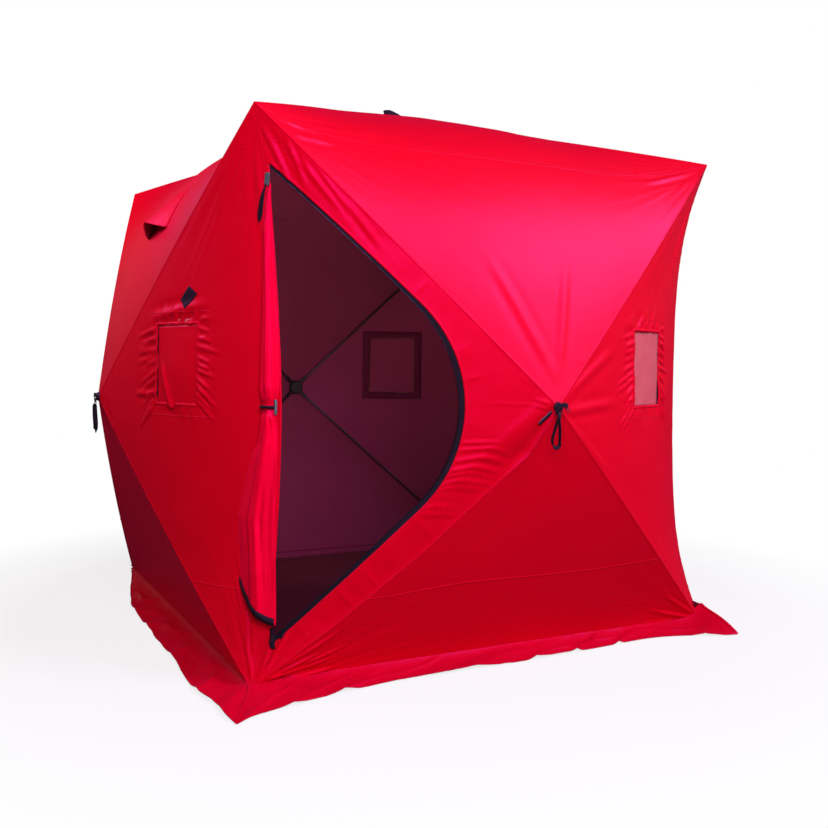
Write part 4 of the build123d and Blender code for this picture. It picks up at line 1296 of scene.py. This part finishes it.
def flap_points(across, down):
    """Points of the gathered cloth: across is 0 at the seam and 1 at its zipped edge, and down is 1
    at its foot."""
    turn = across / FOLDED_SHARE * LAYERS
    side = -np.cos(pi * turn)
    layer = 0.06 + 0.94 * np.clip(turn / LAYERS, 0, 1) - 0.07 * rise(turn, LAYERS, LAYERS + 0.4)
    # the foot is cut on a slant: it ends higher on the left wall than by the doorway
    last = FLAP_FORM[-1, 0] - 0.068 * ((side + 1) / 2) ** 1.6 * rise(down, 0.45, 1.0)
    share = FLAP_FORM[0, 0] + (last - FLAP_FORM[0, 0]) * down
    forms = (np.interp(share, FLAP_FORM[:, 0], form) for form in FLAP_FORM.T[1:])
    half_width, half_depth, shift, loose = forms
    folds = 0.34 * pointed(hills(side * 1.7 + 5.2, share * 2.6, 501))
    folds = folds + 0.14 * hills(side * 4.3, share * 7, 502)
    folds = folds + 0.07 * hills(side * 11, share * 16, 503)
    # short sharp puckers above and below the strap
    by_strap, under_strap = (np.exp(-((share - FLAP_TIE_SHARE) / reach) ** 2) for reach in (0.035, 0.012))
    folds = folds + 0.85 * pointed(hills(side * 6.0, share * 16, 504)) * (by_strap - under_strap)
    bulge = 2 * half_depth * layer * (1 - 0.5 * side ** 2)
    out = bulge + half_depth * folds * loose * (0.35 + 0.65 * layer) * (1 - 0.6 * side ** 4)
    along = half_width * side * (1 + 0.06 * hills(layer * 5, share * 8, 505)) + shift
    wall = -0.30 * np.maximum(along, 0) - 0.10 * np.maximum(-along, 0)
    middle = corner_seam(share) + CORNER_OUT * FLAP_GAP
    return middle + CORNER_OUT * (out + wall)[:, None] + CORNER_ALONG * along[:, None]


steps_down, steps_over = ((200, 200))
down, across = grid_shares(steps_down, steps_over)
points, faces = flap_points(across, down), quads(steps_down, steps_over)
cut = np.column_stack([across * 0.5, down * 1.4])
flap = new_object("gathered_door_cloth", points, faces, [FLAP], cut=cut)
thickened(flap, 0.0006, way=0.0)
part_of_hut(flap, "shell_cloth", "door_flap")
door_x, door_y = front_left.flat(front_left.seen_at(doorway(0.02))).T

# the black zipped edge runs in along the foot of the bundle, on the left wall's side
edge_turn = np.linspace(LAYERS - 1.02, LAYERS - 0.04, 60)
edge_across = FOLDED_SHARE * edge_turn / LAYERS
edge_down = np.full(60, 0.990)
inner_edge, outer_edge = (flap_points(edge_across, edge_down + way) for way in (-0.007, 0.011))


def ribbon_between(name, first, second, lift, material, thickness, way):
    """A strap between two lines of points in the hut's frame, lifted square to itself."""
    side = second - first
    normal = unit(np.cross(np.gradient(first, axis=0), side))
    normal *= np.sign((normal @ way).mean())
    points = np.concatenate([first + lift * normal, second + lift * normal])
    width = np.linalg.norm(side, axis=1)
    cut = np.column_stack([np.tile(lengths_along(first), 2), np.append(np.zeros(len(first)), width)])
    faces = quads(2, len(first))[:, LEVEL_ROW]
    facing = np.cross(points[1] - points[0], points[len(first)] - points[0]) @ way
    made = new_object(name, points, faces if facing > 0 else faces[:, ::-1], [material], cut=cut)
    return thickened(made, thickness, way=0.0)


flap_edge = ribbon_between("door_cloth_zipped_edge", inner_edge, outer_edge, 0.0030, TAPE, 0.0016, CORNER_OUT)
part_of_hut(flap_edge, "zip_tape")

# strap round the bundle, drawn tight
TIE_WIDTH = 0.013
tie_half_width, tie_half_depth = 0.0235, 0.0165
turn = np.linspace(0, 2 * pi, 73)
tie_seam = corner_seam(FLAP_TIE_SHARE)[0]
tie_middle = tie_seam + CORNER_OUT * (0.013 + FLAP_GAP)
tie_width = tie_half_width + 0.0009 * np.sin(5 * turn)
tie_depth = tie_half_depth + 0.0007 * np.sin(7 * turn + 1)
ring = np.outer(tie_width * np.cos(turn), CORNER_ALONG) + np.outer(tie_depth * np.sin(turn), CORNER_OUT)
ring += tie_middle
lower, upper = (ring + way * UP * TIE_WIDTH * 0.36 for way in (-1, 1))
tie = ribbon_between("door_tie_webbing", lower, upper, 0.0, WEBBING, 0.0016, CORNER_OUT)
part_of_hut(tie, "black_webbing", "door_tie_strap")


# ------------------------------------------------------------------ pull tab, straps and patch
def strap_along(name, line, width_way, width, thickness, material):
    """A strap whose middle follows a line; width_way gives the direction across it at each point."""
    width = np.broadcast_to(np.asarray(width, float), len(line))[:, None]
    first, second = line - width_way * width / 2, line + width_way * width / 2
    across = np.linspace(0, 1, 5)
    points = np.concatenate([first + (second - first) * share for share in across])
    cut = np.column_stack([np.tile(lengths_along(line), 5), np.outer(across, width).ravel()])
    made = new_object(name, points, quads(5, len(line))[:, LEVEL_ROW], [material], cut=cut)
    made = thickened(made, thickness, way=0.0)
    bevel = made.modifiers.new("soft_edge", "BEVEL")
    bevel.width, bevel.segments, bevel.limit_method = thickness * 0.3, 1, "ANGLE"
    return settled(made)


def smooth_line(points, count):
    """A smooth line through points, by Catmull and Rom's rule."""
    points = np.asarray(points, float)
    ends = np.vstack([2 * points[0] - points[1], points, 2 * points[-1] - points[-2]])
    t = np.linspace(0, len(points) - 1 - 1e-9, count)
    i = t.astype(int)
    f = (t - i)[:, None]
    a, b, c, d = ends[i], ends[i + 1], ends[i + 2], ends[i + 3]
    square, cube = (2 * a - 5 * b + 4 * c - d) * f ** 2, (3 * b - a - 3 * c + d) * f ** 3
    return 0.5 * (2 * b + (c - a) * f + square + cube)


# teardrop tab: it hangs from the slider and lies over the left wall by its end
tab_down = np.linspace(0, 1, 40)
tab_places = (0, 0.06, 0.3, 0.62, 0.84, 0.95, 1.0)
tab_width = 2 * np.interp(tab_down, tab_places, (0.0018, 0.0022, 0.0044, 0.0072, 0.0080, 0.0048, 0.0010))
slider_foot = zip_line(0.0, 0.05)[:1] - (0.0, 0.060)
tab_start = front_left.place(front_left.seen_at(slider_foot), 0.010)[0]
tab_seam = corner_seam(0.128)[0]
tab_end = left_right.place(left_right.seen_at((-tab_seam[0] - 0.030, tab_seam[2] - 0.110)), 0.006)[0]
tab_line = smooth_line([tab_start, 0.62 * tab_start + 0.38 * tab_end + 0.008 * CORNER_OUT, tab_end], 40)
tab_way = squared(CORNER_ALONG, headings(tab_line))
pull_tab = strap_along("zip_pull_tab", tab_line, tab_way, tab_width, 0.0018, WEBBING)
part_of_hut(pull_tab, "black_webbing", "door_pull_tab")


def pull_loop(twist):
    """The middle line and width direction of a hub's hanging loop of webbing, in the front wall's place."""
    top = FRONT_HUB + np.array([0.0, -0.0065, -0.0325 * CAP_SCALE])
    left = [
        (-0.004, 0.0, 0.0), (-0.008, -0.004, -0.008), (-0.0115, -0.005, -0.018), (-0.019, -0.0045, -0.045),
        (-0.029, -0.004, -0.078),
    ]
    foot = [(-0.027, -0.005, -0.098), (-0.015, -0.006, -0.107), (-0.0035, -0.006, -0.098)]
    right = [
        (-0.003, -0.006, -0.084), (-0.004, -0.008, -0.052), (-0.009, -0.009, -0.020),
        (-0.007, -0.008, -0.006), (-0.004, -0.0045, 0.0005),
    ]
    line = smooth_line(left + foot + right, 90)
    line[:, 0] *= twist
    run = headings(line)
    # the webbing lies flat to the wall at the bar, and turns on edge in the loop
    share = np.linspace(0, 1, len(line))
    on_edge = np.array([0.25 * twist, -1.0, 0.15])
    flat_way = np.cross(run, OUTWARD)
    turned_flat = rise(share, 0.36, 0.46) * (1 - rise(share, 0.54, 0.62))
    amount = (rise(share, 0.02, 0.22) * (1 - rise(share, 0.78, 0.98)) * (1 - 0.8 * turned_flat))[:, None]
    way = flat_way * (1 - amount) + on_edge * amount
    return line + top, squared(way, run)


def strap_end():
    """The folded end of a hub's strap over its cap, as a middle line and width directions, and the
    ring sewn in it."""
    top = FRONT_HUB + np.array([0.0, -0.0065, 0.0])
    line = smooth_line([
        (-0.012, -0.0020, -0.022), (-0.010, -0.0055, -0.008), (0.002, -0.0075, 0.004),
        (0.016, -0.0060, 0.007), (0.026, -0.0035, -0.001),
    ], 40)
    way = unit(np.cross(headings(line), OUTWARD))
    angles = np.linspace(0, 2 * pi, 25)
    ring = 0.0062 * np.column_stack([np.cos(angles), 0.2 * np.sin(angles), np.sin(angles)])
    return line + top, way, np.array([0.029, -0.0045, -0.009]) + ring + top


strap_pieces, ring_pieces = [], []
for quarter in range(4):
    line, way, ring = strap_end()
    line, way = turned(line, quarter), turned(way, quarter)
    strap_pieces.append(strap_along("strap_end", line, way, 0.015, 0.0022, WEBBING))
    ring_pieces.append(tube("ring", turned(ring, quarter), 0.0011, NYLON, sides=8, capped=False))
part_of_hut(joined("strap_rings", ring_pieces), "hub_plastic")
for quarter, twist in ((0, 1.0), (1, -1.0), (2, 1.0), (3, -0.8)):
    line, way = pull_loop(twist)
    line, way = turned(line, quarter), turned(way, quarter)
    strap_pieces.append(strap_along("strap", line, way, 0.0115, 0.0017, WEBBING))
roof_line = ROOF_HUB + smooth_line([
    (0.046, 0.0, 0.009), (0.028, -0.003, 0.018), (0.002, -0.008, 0.026), (-0.028, -0.012, 0.032),
    (-0.048, -0.004, 0.029), (-0.036, 0.005, 0.022), (-0.006, 0.006, 0.016), (0.022, 0.003, 0.011),
    (0.044, 0.0, 0.006),
], 70)
# the roof hub's strap lies flat at its ends and stands on edge between them
flat_share = rise(np.abs(np.linspace(-1, 1, 70)), 0.72, 1.0)[:, None]
roof_way = squared(-OUTWARD * flat_share + UP * (1 - flat_share), headings(roof_line))
strap_pieces.append(strap_along("strap", roof_line, roof_way, 0.018, 0.0026, WEBBING))
straps = joined("hub_pull_straps", strap_pieces)
part_of_hut(straps, "black_webbing", "pull_straps")

# diamond patch over the left window, sewn round its edge
patch_middle = np.array([WINDOW_OUT + 0.059, WINDOW_HEIGHT_MIDDLE + 0.215])
diamond = np.array([(-0.008, -0.037), (0.038, 0.010), (0.006, 0.038), (-0.038, -0.008)]) + patch_middle


def on_wrinkles(panel, corners, lift):
    """Lift that follows the cloth's own wrinkles under a patch."""
    def shape(u, v):
        shares = panel.seen_at(between(corners, u, v))
        edge = np.minimum(np.minimum(u, 1 - u), np.minimum(v, 1 - v))
        return panel.wrinkle(shares) + lift * rise(edge, 0.0, 0.06)
    return shape


patch_shape = on_wrinkles(left_right, diamond, 0.0016)
patch = patch_on("diamond_tie_patch", left_right, diamond, 30, patch_shape, WEBBING)
thickened(patch, 0.0012)
part_of_hut(patch, "black_webbing", "diamond_patch")
shrunk = patch_middle + (diamond - patch_middle) * 0.84
line = spaced(shrunk, 0.006, closed=True)
patch_stitches = left_right.place(left_right.seen_at(np.vstack([line, line[:1]])), 0.0022)

# anchor strap that stands out of the far left seam by the ground
anchor_share = np.linspace(0.925, 0.988, 12)
anchor_line = corner_seam(anchor_share)
anchor_out = np.tile(unit(CORNER_OUT + 0.25 * UP), (12, 1))
ripple = 0.002 * np.sin(np.linspace(0, 5, 12))[:, None] * CORNER_ALONG
anchor_line = turned(anchor_line + anchor_out * 0.0125 + ripple, 3)
anchor = strap_along("ground_anchor_strap", anchor_line, turned(anchor_out, 3), 0.023, 0.0018, WEBBING)
part_of_hut(anchor, "black_webbing", "anchor_strap")


# ------------------------------------------------------------------ vent hoods
# places on the wall: across it, and below the top corners
VENT_PLACES = ((0.150, 0.125), (0.250, 0.295), (0.010, 0.313), (0.130, 0.262))
VENT_STANDOFF = 0.062


def vent_hood(quarter):
    """A hood of stiffened cloth on a wall's upper panel: two panels from a point to a lip that stands
    off the wall, open below."""
    panel = panels[SIDES[quarter], "upper"]
    steps = 36
    s, t = grid_shares(steps, steps)                 # s down from the point, t across from near to far
    apex, near, far, lip = (np.array([x, CORNER_HEIGHT - drop]) for x, drop in VENT_PLACES)
    foot = near + (far - near) * t[:, None]
    middle_pull = 1 - np.abs(2 * t - 1)
    foot = foot + (lip - (near + far) / 2) * middle_pull[:, None] * 0.9
    shares = panel.seen_at(apex + (foot - apex) * s[:, None])
    ridge = (1 - np.abs(2 * t - 1) ** 1.35) ** 0.9
    lift = 0.0008 + VENT_STANDOFF * ridge * s ** 1.15
    lift += 0.0028 * hills(s * 4, t * 5, 611 + quarter) * s * np.sin(pi * t)
    out = turned(OUTWARD, quarter)
    points = panel.place(shares) + out * lift[:, None]
    faces = faced(points, quads(steps, steps), out)
    made = new_object("vent_hood", points, faces, [SHELL, LINING], cut=np.column_stack([t * 0.26, s * 0.19]))
    return thickened(made, 0.0016, inner_slot=1), points.reshape(steps, steps, 3)


hood_pieces, hood_lines = [], []
for quarter in (1, 3):
    hood, grid = vent_hood(quarter)
    hood_pieces.append(hood)
    out = turned(OUTWARD, quarter)
    hood_lines += [line + out * 0.0006 for line in (grid[-2], grid[1:, 1], grid[1:, -2])]
    hood_pieces.append(tube("hood_lip", grid[-1][1:-1] + out * 0.0002, 0.0022, SHELL, sides=6))
hoods = joined("vent_hood_cloths", hood_pieces)
part_of_hut(hoods, "shell_cloth", "vent_hoods")
hood_stitches = grown("vent_hood_stitches", STITCHES, hood_lines, {"Thread": RED_THREAD})
part_of_hut(hood_stitches, "shell_cloth")

# ------------------------------------------------------------------ lower seam, foot hem and skirt
LOW_SEAM = {"lower": 0.278, "left": 0.30, "right": 0.285}
seam_points = corner_seam(np.linspace(1, 0, 50))
low_pieces = []
for (side, kind), panel in panels.items():
    if kind not in LOW_SEAM or panel is front_left:
        continue                                        # the doorway takes up that panel's foot
    height = LOW_SEAM[kind]
    half, bow = BASE_HALF * (1 - height / HUB_HEIGHT), 0.0
    if kind == "lower":
        x = np.linspace(-half + 0.012, half - 0.012, 90)
        bow = 0.018 * (x / 0.6) ** 2
    else:
        seam_x = -np.interp(height, seam_points[:, 2], seam_points[:, 0])
        x = np.linspace(half + 0.012, seam_x - 0.010, 30) * (1 if kind == "right" else -1)
    z = height + 0.012 * hills(x * 1.6 + 0.4, 0.2, 701 + panel.seed) + bow
    low_pieces.append(sewn_line(panel, np.column_stack([x, z]), 0.0025, 0.0005))
low_seams = joined("lower_cloth_seams", low_pieces)
part_of_hut(low_seams, "shell_cloth")


# the skirt's outer edge from one corner to the next: places along each wall, and distances out from
# its foot
SKIRT_EDGE = {
    "front": [
        (-1.02, 0.255), (-0.93, 0.205), (-0.81, 0.178), (-0.60, 0.135), (-0.46, 0.123), (-0.17, 0.121),
        (0.06, 0.124), (0.30, 0.112), (0.55, 0.100), (0.70, 0.130), (0.82, 0.182), (0.89, 0.202),
    ],
    "right": [
        (-1.10, -0.01), (-0.98, 0.05), (-0.86, 0.105), (-0.71, 0.149), (-0.40, 0.145), (0.0, 0.152),
        (0.40, 0.140), (0.80, 0.150), (1.04, 0.140),
    ],
    "back": [
        (-1.04, 0.140), (-0.60, 0.150), (-0.20, 0.138), (0.30, 0.150), (0.70, 0.140), (0.86, 0.090),
        (0.907, 0.012),
    ],
    "left": [
        (-0.912, 0.007), (-0.77, 0.033), (-0.48, 0.090), (-0.21, 0.135), (0.18, 0.138), (0.59, 0.146),
        (0.82, 0.155), (0.98, 0.129), (1.085, 0.130), (1.155, 0.120),
    ],
}


def skirt_sheet(quarter, steps_along, steps_out):
    """The skirt along one wall: it hangs from the foot of the cloth and spreads over the ground in
    ripples."""
    t, r = grid_shares(steps_along, steps_out)
    t = 2 * t - 1
    seed = 801 + quarter
    edge = SKIRT_EDGE[SIDES[quarter]]
    line = smooth_line(np.array([(x, -BASE_HALF - out, 0.0) for x, out in edge]), 800)
    length = lengths_along(line)
    share = (t + 1) / 2 * length[-1]
    outer_x, outer_y = np.interp(share, length, line[:, 0]), np.interp(share, length, line[:, 1])
    end = rise(np.abs(t), 0.90, 1.0)
    wobble = 0.004 * hills(t * 9, 0.6, seed + 1) * (1 - end)
    x = BASE_HALF * t * (1 - r) + outer_x * r
    y = -(BASE_HALF + 0.0015) * (1 - r) + (outer_y - wobble) * r
    out = np.hypot(x - BASE_HALF * t, y + BASE_HALF)
    # a soft fall from the seam, then long low folds that die out where the cloth lies flat
    fall = 0.034 * np.exp(-out / 0.030) * (1 - 0.55 * end)
    folds = pointed(hills(t * 5.5 + 0.8 * r, r * 0.8, seed + 2)) * 0.007 * rise(r, 0.05, 0.5)
    fine = 0.0020 * hills(t * 24, r * 2.2, seed + 3) * rise(r, 0.02, 0.3)
    lip = 0.006 * rise(hills(t * 5, 0.1, seed + 4), 0.1, 0.9) * rise(r, 0.75, 1.0)
    z = 0.0030 + fall + np.maximum(folds + fine, -0.001) * (1 - end) + lip * (1 - end)
    # at the front right corner both skirts are caught up on the seam, and fall from it to a point
    for here, way, wide in (("front", 1.0, 0.055), ("right", -1.0, 0.16)):
        if SIDES[quarter] == here:
            ridge = BASE_HALF * way * (1 - r) + edge[-1 if way > 0 else 0][0] * r
            off = np.abs(x - ridge) / wide
            z += (0.052 * (1 - r) ** 0.8 + 0.010 * np.sin(pi * r)) * np.exp(-off ** 1.6)
    points = turned(np.column_stack([x, y, np.maximum(z, 0.0018)]), quarter)
    faces = faced(points, quads(steps_along, steps_out), UP)
    cut = np.column_stack([x, r * SKIRT_WIDTH])
    made = new_object("skirt_" + SIDES[quarter], points, faces, [SKIRT, LINING], cut=cut)
    thickened(made, 0.001, inner_slot=1)
    return made, points.reshape(steps_along, steps_out, 3)


skirt_hems, mitre_lines = [], []
for quarter, side in enumerate(SIDES):
    made, grid = skirt_sheet(quarter, *(((420, 44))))
    part_of_hut(made, "skirt_cloth", f"{side}_skirt")
    mitre_lines.append(grid[0])
    skirt_hems.append(tube("skirt_hem", grid[:, -1] + UP * 0.0006, 0.0016, SKIRT, sides=6))
    stitch_lines.append(grid[:, -4] + UP * 0.0006)
    stitch_lines.append(grid[:, 0] + UP * 0.005 + turned(OUTWARD, quarter) * 0.0014)
for line in mitre_lines:
    # a sewn seam closes each corner of the skirt
    flat_way = unit(np.cross(headings(line), UP))
    skirt_hems.append(strap_along("mitre_seam", line + UP * 0.0014, flat_way, 0.013, 0.0010, SKIRT))
hem_rolls = joined("skirt_rolled_hems", skirt_hems)
part_of_hut(hem_rolls, "skirt_cloth")

stitch_sizes = {"Pitch": 0.0075, "Stitch Length": 0.0048, "Thread Width": 0.0007}
stitched = grown("seam_stitches", STITCHES, stitch_lines, {"Thread": RED_THREAD, **stitch_sizes})
part_of_hut(stitched, "shell_cloth")
dark_stitched = grown("patch_stitches", STITCHES, [patch_stitches], {"Thread": DARK_THREAD})
part_of_hut(dark_stitched, "black_webbing")


# ------------------------------------------------------------------ stage, lamps and camera
def direct_ray(tree):
    """1 for the camera's rays, also through clear film, and 0 for all others."""
    path = add_node(tree, "ShaderNodeLightPath").outputs
    either = {0: path["Is Camera Ray"], 1: path["Is Transmission Ray"]}
    return add_node(tree, "ShaderNodeMath", either, operation="MAXIMUM").outputs[0]


def floor_material():
    """Studio floor: to the camera it is white, and near the hut it keeps part of the hut's shadow.
    It gives little light back to the hut."""
    made, tree, shader = new_material("studio_floor_white", Roughness=0.9, Specular_IOR_Level=0.05)
    direct = direct_ray(tree)
    coloured(tree, shader, direct, "#7a4a50", "#dbffcb")
    place = add_node(tree, "ShaderNodeTexCoord").outputs["Object"]
    away = add_node(tree, "ShaderNodeVectorMath", {0: place}, operation="LENGTH").outputs["Value"]
    plain = {"Value": away, "From Min": 1.45, "From Max": 2.3, "To Min": 0.80, "To Max": 1.0}
    plain = add_node(tree, "ShaderNodeMapRange", plain).outputs["Result"]
    share = add_node(tree, "ShaderNodeMath", {0: plain, 1: direct}, operation="MULTIPLY").outputs[0]
    white = add_node(tree, "ShaderNodeEmission", {"Color": (1.0, 1.0, 1.0, 1.0), "Strength": 1.0})
    mix = add_node(tree, "ShaderNodeMixShader", {0: share, 1: shader.outputs[0], 2: white.outputs[0]})
    tree.links.new(mix.outputs[0], tree.nodes["Material Output"].inputs["Surface"])
    return made


def ground_material():
    """Dark red ground inside the hut, dull and uneven in tone. All of it is painted shade: it stands for the
    shade and the red light under the cloth.
    """
    made, tree, shader = new_material("ground_painted_shade_dark_red", Roughness=0.95)
    place = add_node(tree, "ShaderNodeTexCoord").outputs["Object"]
    shade_blotches = add_node(tree, "ShaderNodeTexNoise", {"Vector": place, "Scale": 9.0, "Detail": 5.0})
    coloured(tree, shader, shade_blotches.outputs["Fac"], "#57131f", "#6a1a28")
    return made


def level_square(name, half, height, material):
    """A level square about the middle of the hut."""
    points = [(x * half, y * half, height) for x, y in ((-1, -1), (1, -1), (1, 1), (-1, 1))]
    return new_object(name, points, [(0, 1, 2, 3)], [material], smooth=False)


floor = level_square("studio_floor", 40.0, -0.001, floor_material())
# the dark red square inside the hut's foot is painted shade, so that the ground seen through the doorway is
# dark
dark_ground = level_square("ground_inside_painted_shade", BASE_HALF + 0.012, 0.0002, ground_material())

world = bpy.data.worlds.new("studio")
bpy.context.scene.world = world
world.use_nodes = True
world_tree = world.node_tree
world_tree.nodes.clear()
# the studio is dark behind the hut but for a pale strip low down, so that the walls keep their depth
# of colour
way = add_node(world_tree, "ShaderNodeTexCoord").outputs["Generated"]
way = add_node(world_tree, "ShaderNodeSeparateXYZ", {0: way}).outputs
world_parts = []
for axis, *ends in (("Y", -0.3, 0.35, 1.0, 0.08), ("Z", 0.02, 0.12, 0.0, 0.9), ("Z", 0.28, 0.45, 1.0, 0.0)):
    inputs = {"Value": way[axis], **dict(zip(("From Min", "From Max", "To Min", "To Max"), ends))}
    world_parts.append(add_node(world_tree, "ShaderNodeMapRange", inputs).outputs["Result"])
front_part, above_floor, below_sky = world_parts
strip = add_node(world_tree, "ShaderNodeMath", {0: above_floor, 1: below_sky}, operation="MULTIPLY")
level = add_node(world_tree, "ShaderNodeMath", {0: front_part, 1: strip.outputs[0]}, operation="MAXIMUM")
level = add_node(world_tree, "ShaderNodeMath", {0: level.outputs[0], 1: 0.27}, operation="MULTIPLY")
strength = level.outputs[0]
fill = add_node(world_tree, "ShaderNodeBackground", {"Color": (1.0, 0.62, 0.62, 1.0), "Strength": strength})
white = add_node(world_tree, "ShaderNodeBackground", {"Color": (1.0, 1.0, 1.0, 1.0), "Strength": 1.0})
shades = {0: direct_ray(world_tree), 1: fill.outputs[0], 2: white.outputs[0]}
blend = add_node(world_tree, "ShaderNodeMixShader", shades)
add_node(world_tree, "ShaderNodeOutputWorld", {"Surface": blend.outputs[0]})


def lamp(name, place, towards, size, power, colour=(1.0, 1.0, 1.0)):
    """A soft square lamp that points at a place and isn't seen itself."""
    data = bpy.data.lights.new(name, "AREA")
    data.shape, data.size, data.energy, data.color = "SQUARE", size, power, colour
    made = bpy.data.objects.new(name, data)
    made.location = place
    made.rotation_euler = (Vector(towards) - Vector(place)).to_track_quat("-Z", "Y").to_euler()
    made.visible_camera = False
    bpy.context.scene.collection.objects.link(made)


lamp("key_over_front", (2.9, -3.7, 4.4), (0.0, -0.8, 1.1), 2.4, 262, (1.0, 0.62, 1.6))
lamp("front_left", (-1.4, -5.6, 2.6), (-0.2, -0.8, 1.0), 2.2, 84, (1.0, 0.62, 1.1))
lamp("overhead_left", (-1.95, 0.25, 2.35), (-1.0, 0.05, 1.5), 0.9, 22, (1.0, 0.36, 1.0))
lamp("by_top_corner", (-1.2, -2.4, 1.85), (-0.76, -0.93, 1.5), 0.7, 20, (1.0, 0.6, 1.6))
# what the real cloth lets through from outside
lamp("glow_inside", (-0.42, -0.35, 0.85), (-0.1, 0.9, 1.7), 0.7, 9, (1.0, 0.72, 0.8))

CAMERA_AZIMUTH, CAMERA_ELEVATION, CAMERA_ROLL = -0.4757, 0.0524, 0.0101
CAMERA_DISTANCE, CAMERA_TARGET = 4.092, Vector((0.1074, 0.0, 0.7708))
FILM_WIDTH, FOCAL_LENGTH = 36.0, 41.44       # in millimetres
back = Vector((
    sin(CAMERA_AZIMUTH) * cos(CAMERA_ELEVATION),
    -cos(CAMERA_AZIMUTH) * cos(CAMERA_ELEVATION),
    sin(CAMERA_ELEVATION),
))
right = (-back).cross(Vector(UP)).normalized()
above = right.cross(-back)
rolled_right = right * cos(CAMERA_ROLL) + above * sin(CAMERA_ROLL)
rolled_above = above * cos(CAMERA_ROLL) - right * sin(CAMERA_ROLL)
axes = Matrix((rolled_right, rolled_above, back)).transposed().to_4x4()
camera_data = bpy.data.cameras.new("camera")
camera_data.sensor_width, camera_data.lens = FILM_WIDTH, FOCAL_LENGTH
camera = bpy.data.objects.new("camera", camera_data)
camera.matrix_world = Matrix.Translation(CAMERA_TARGET + back * CAMERA_DISTANCE) @ axes
bpy.context.scene.collection.objects.link(camera)
bpy.context.scene.camera = camera
bpy.context.scene.view_settings.view_transform = "Standard"
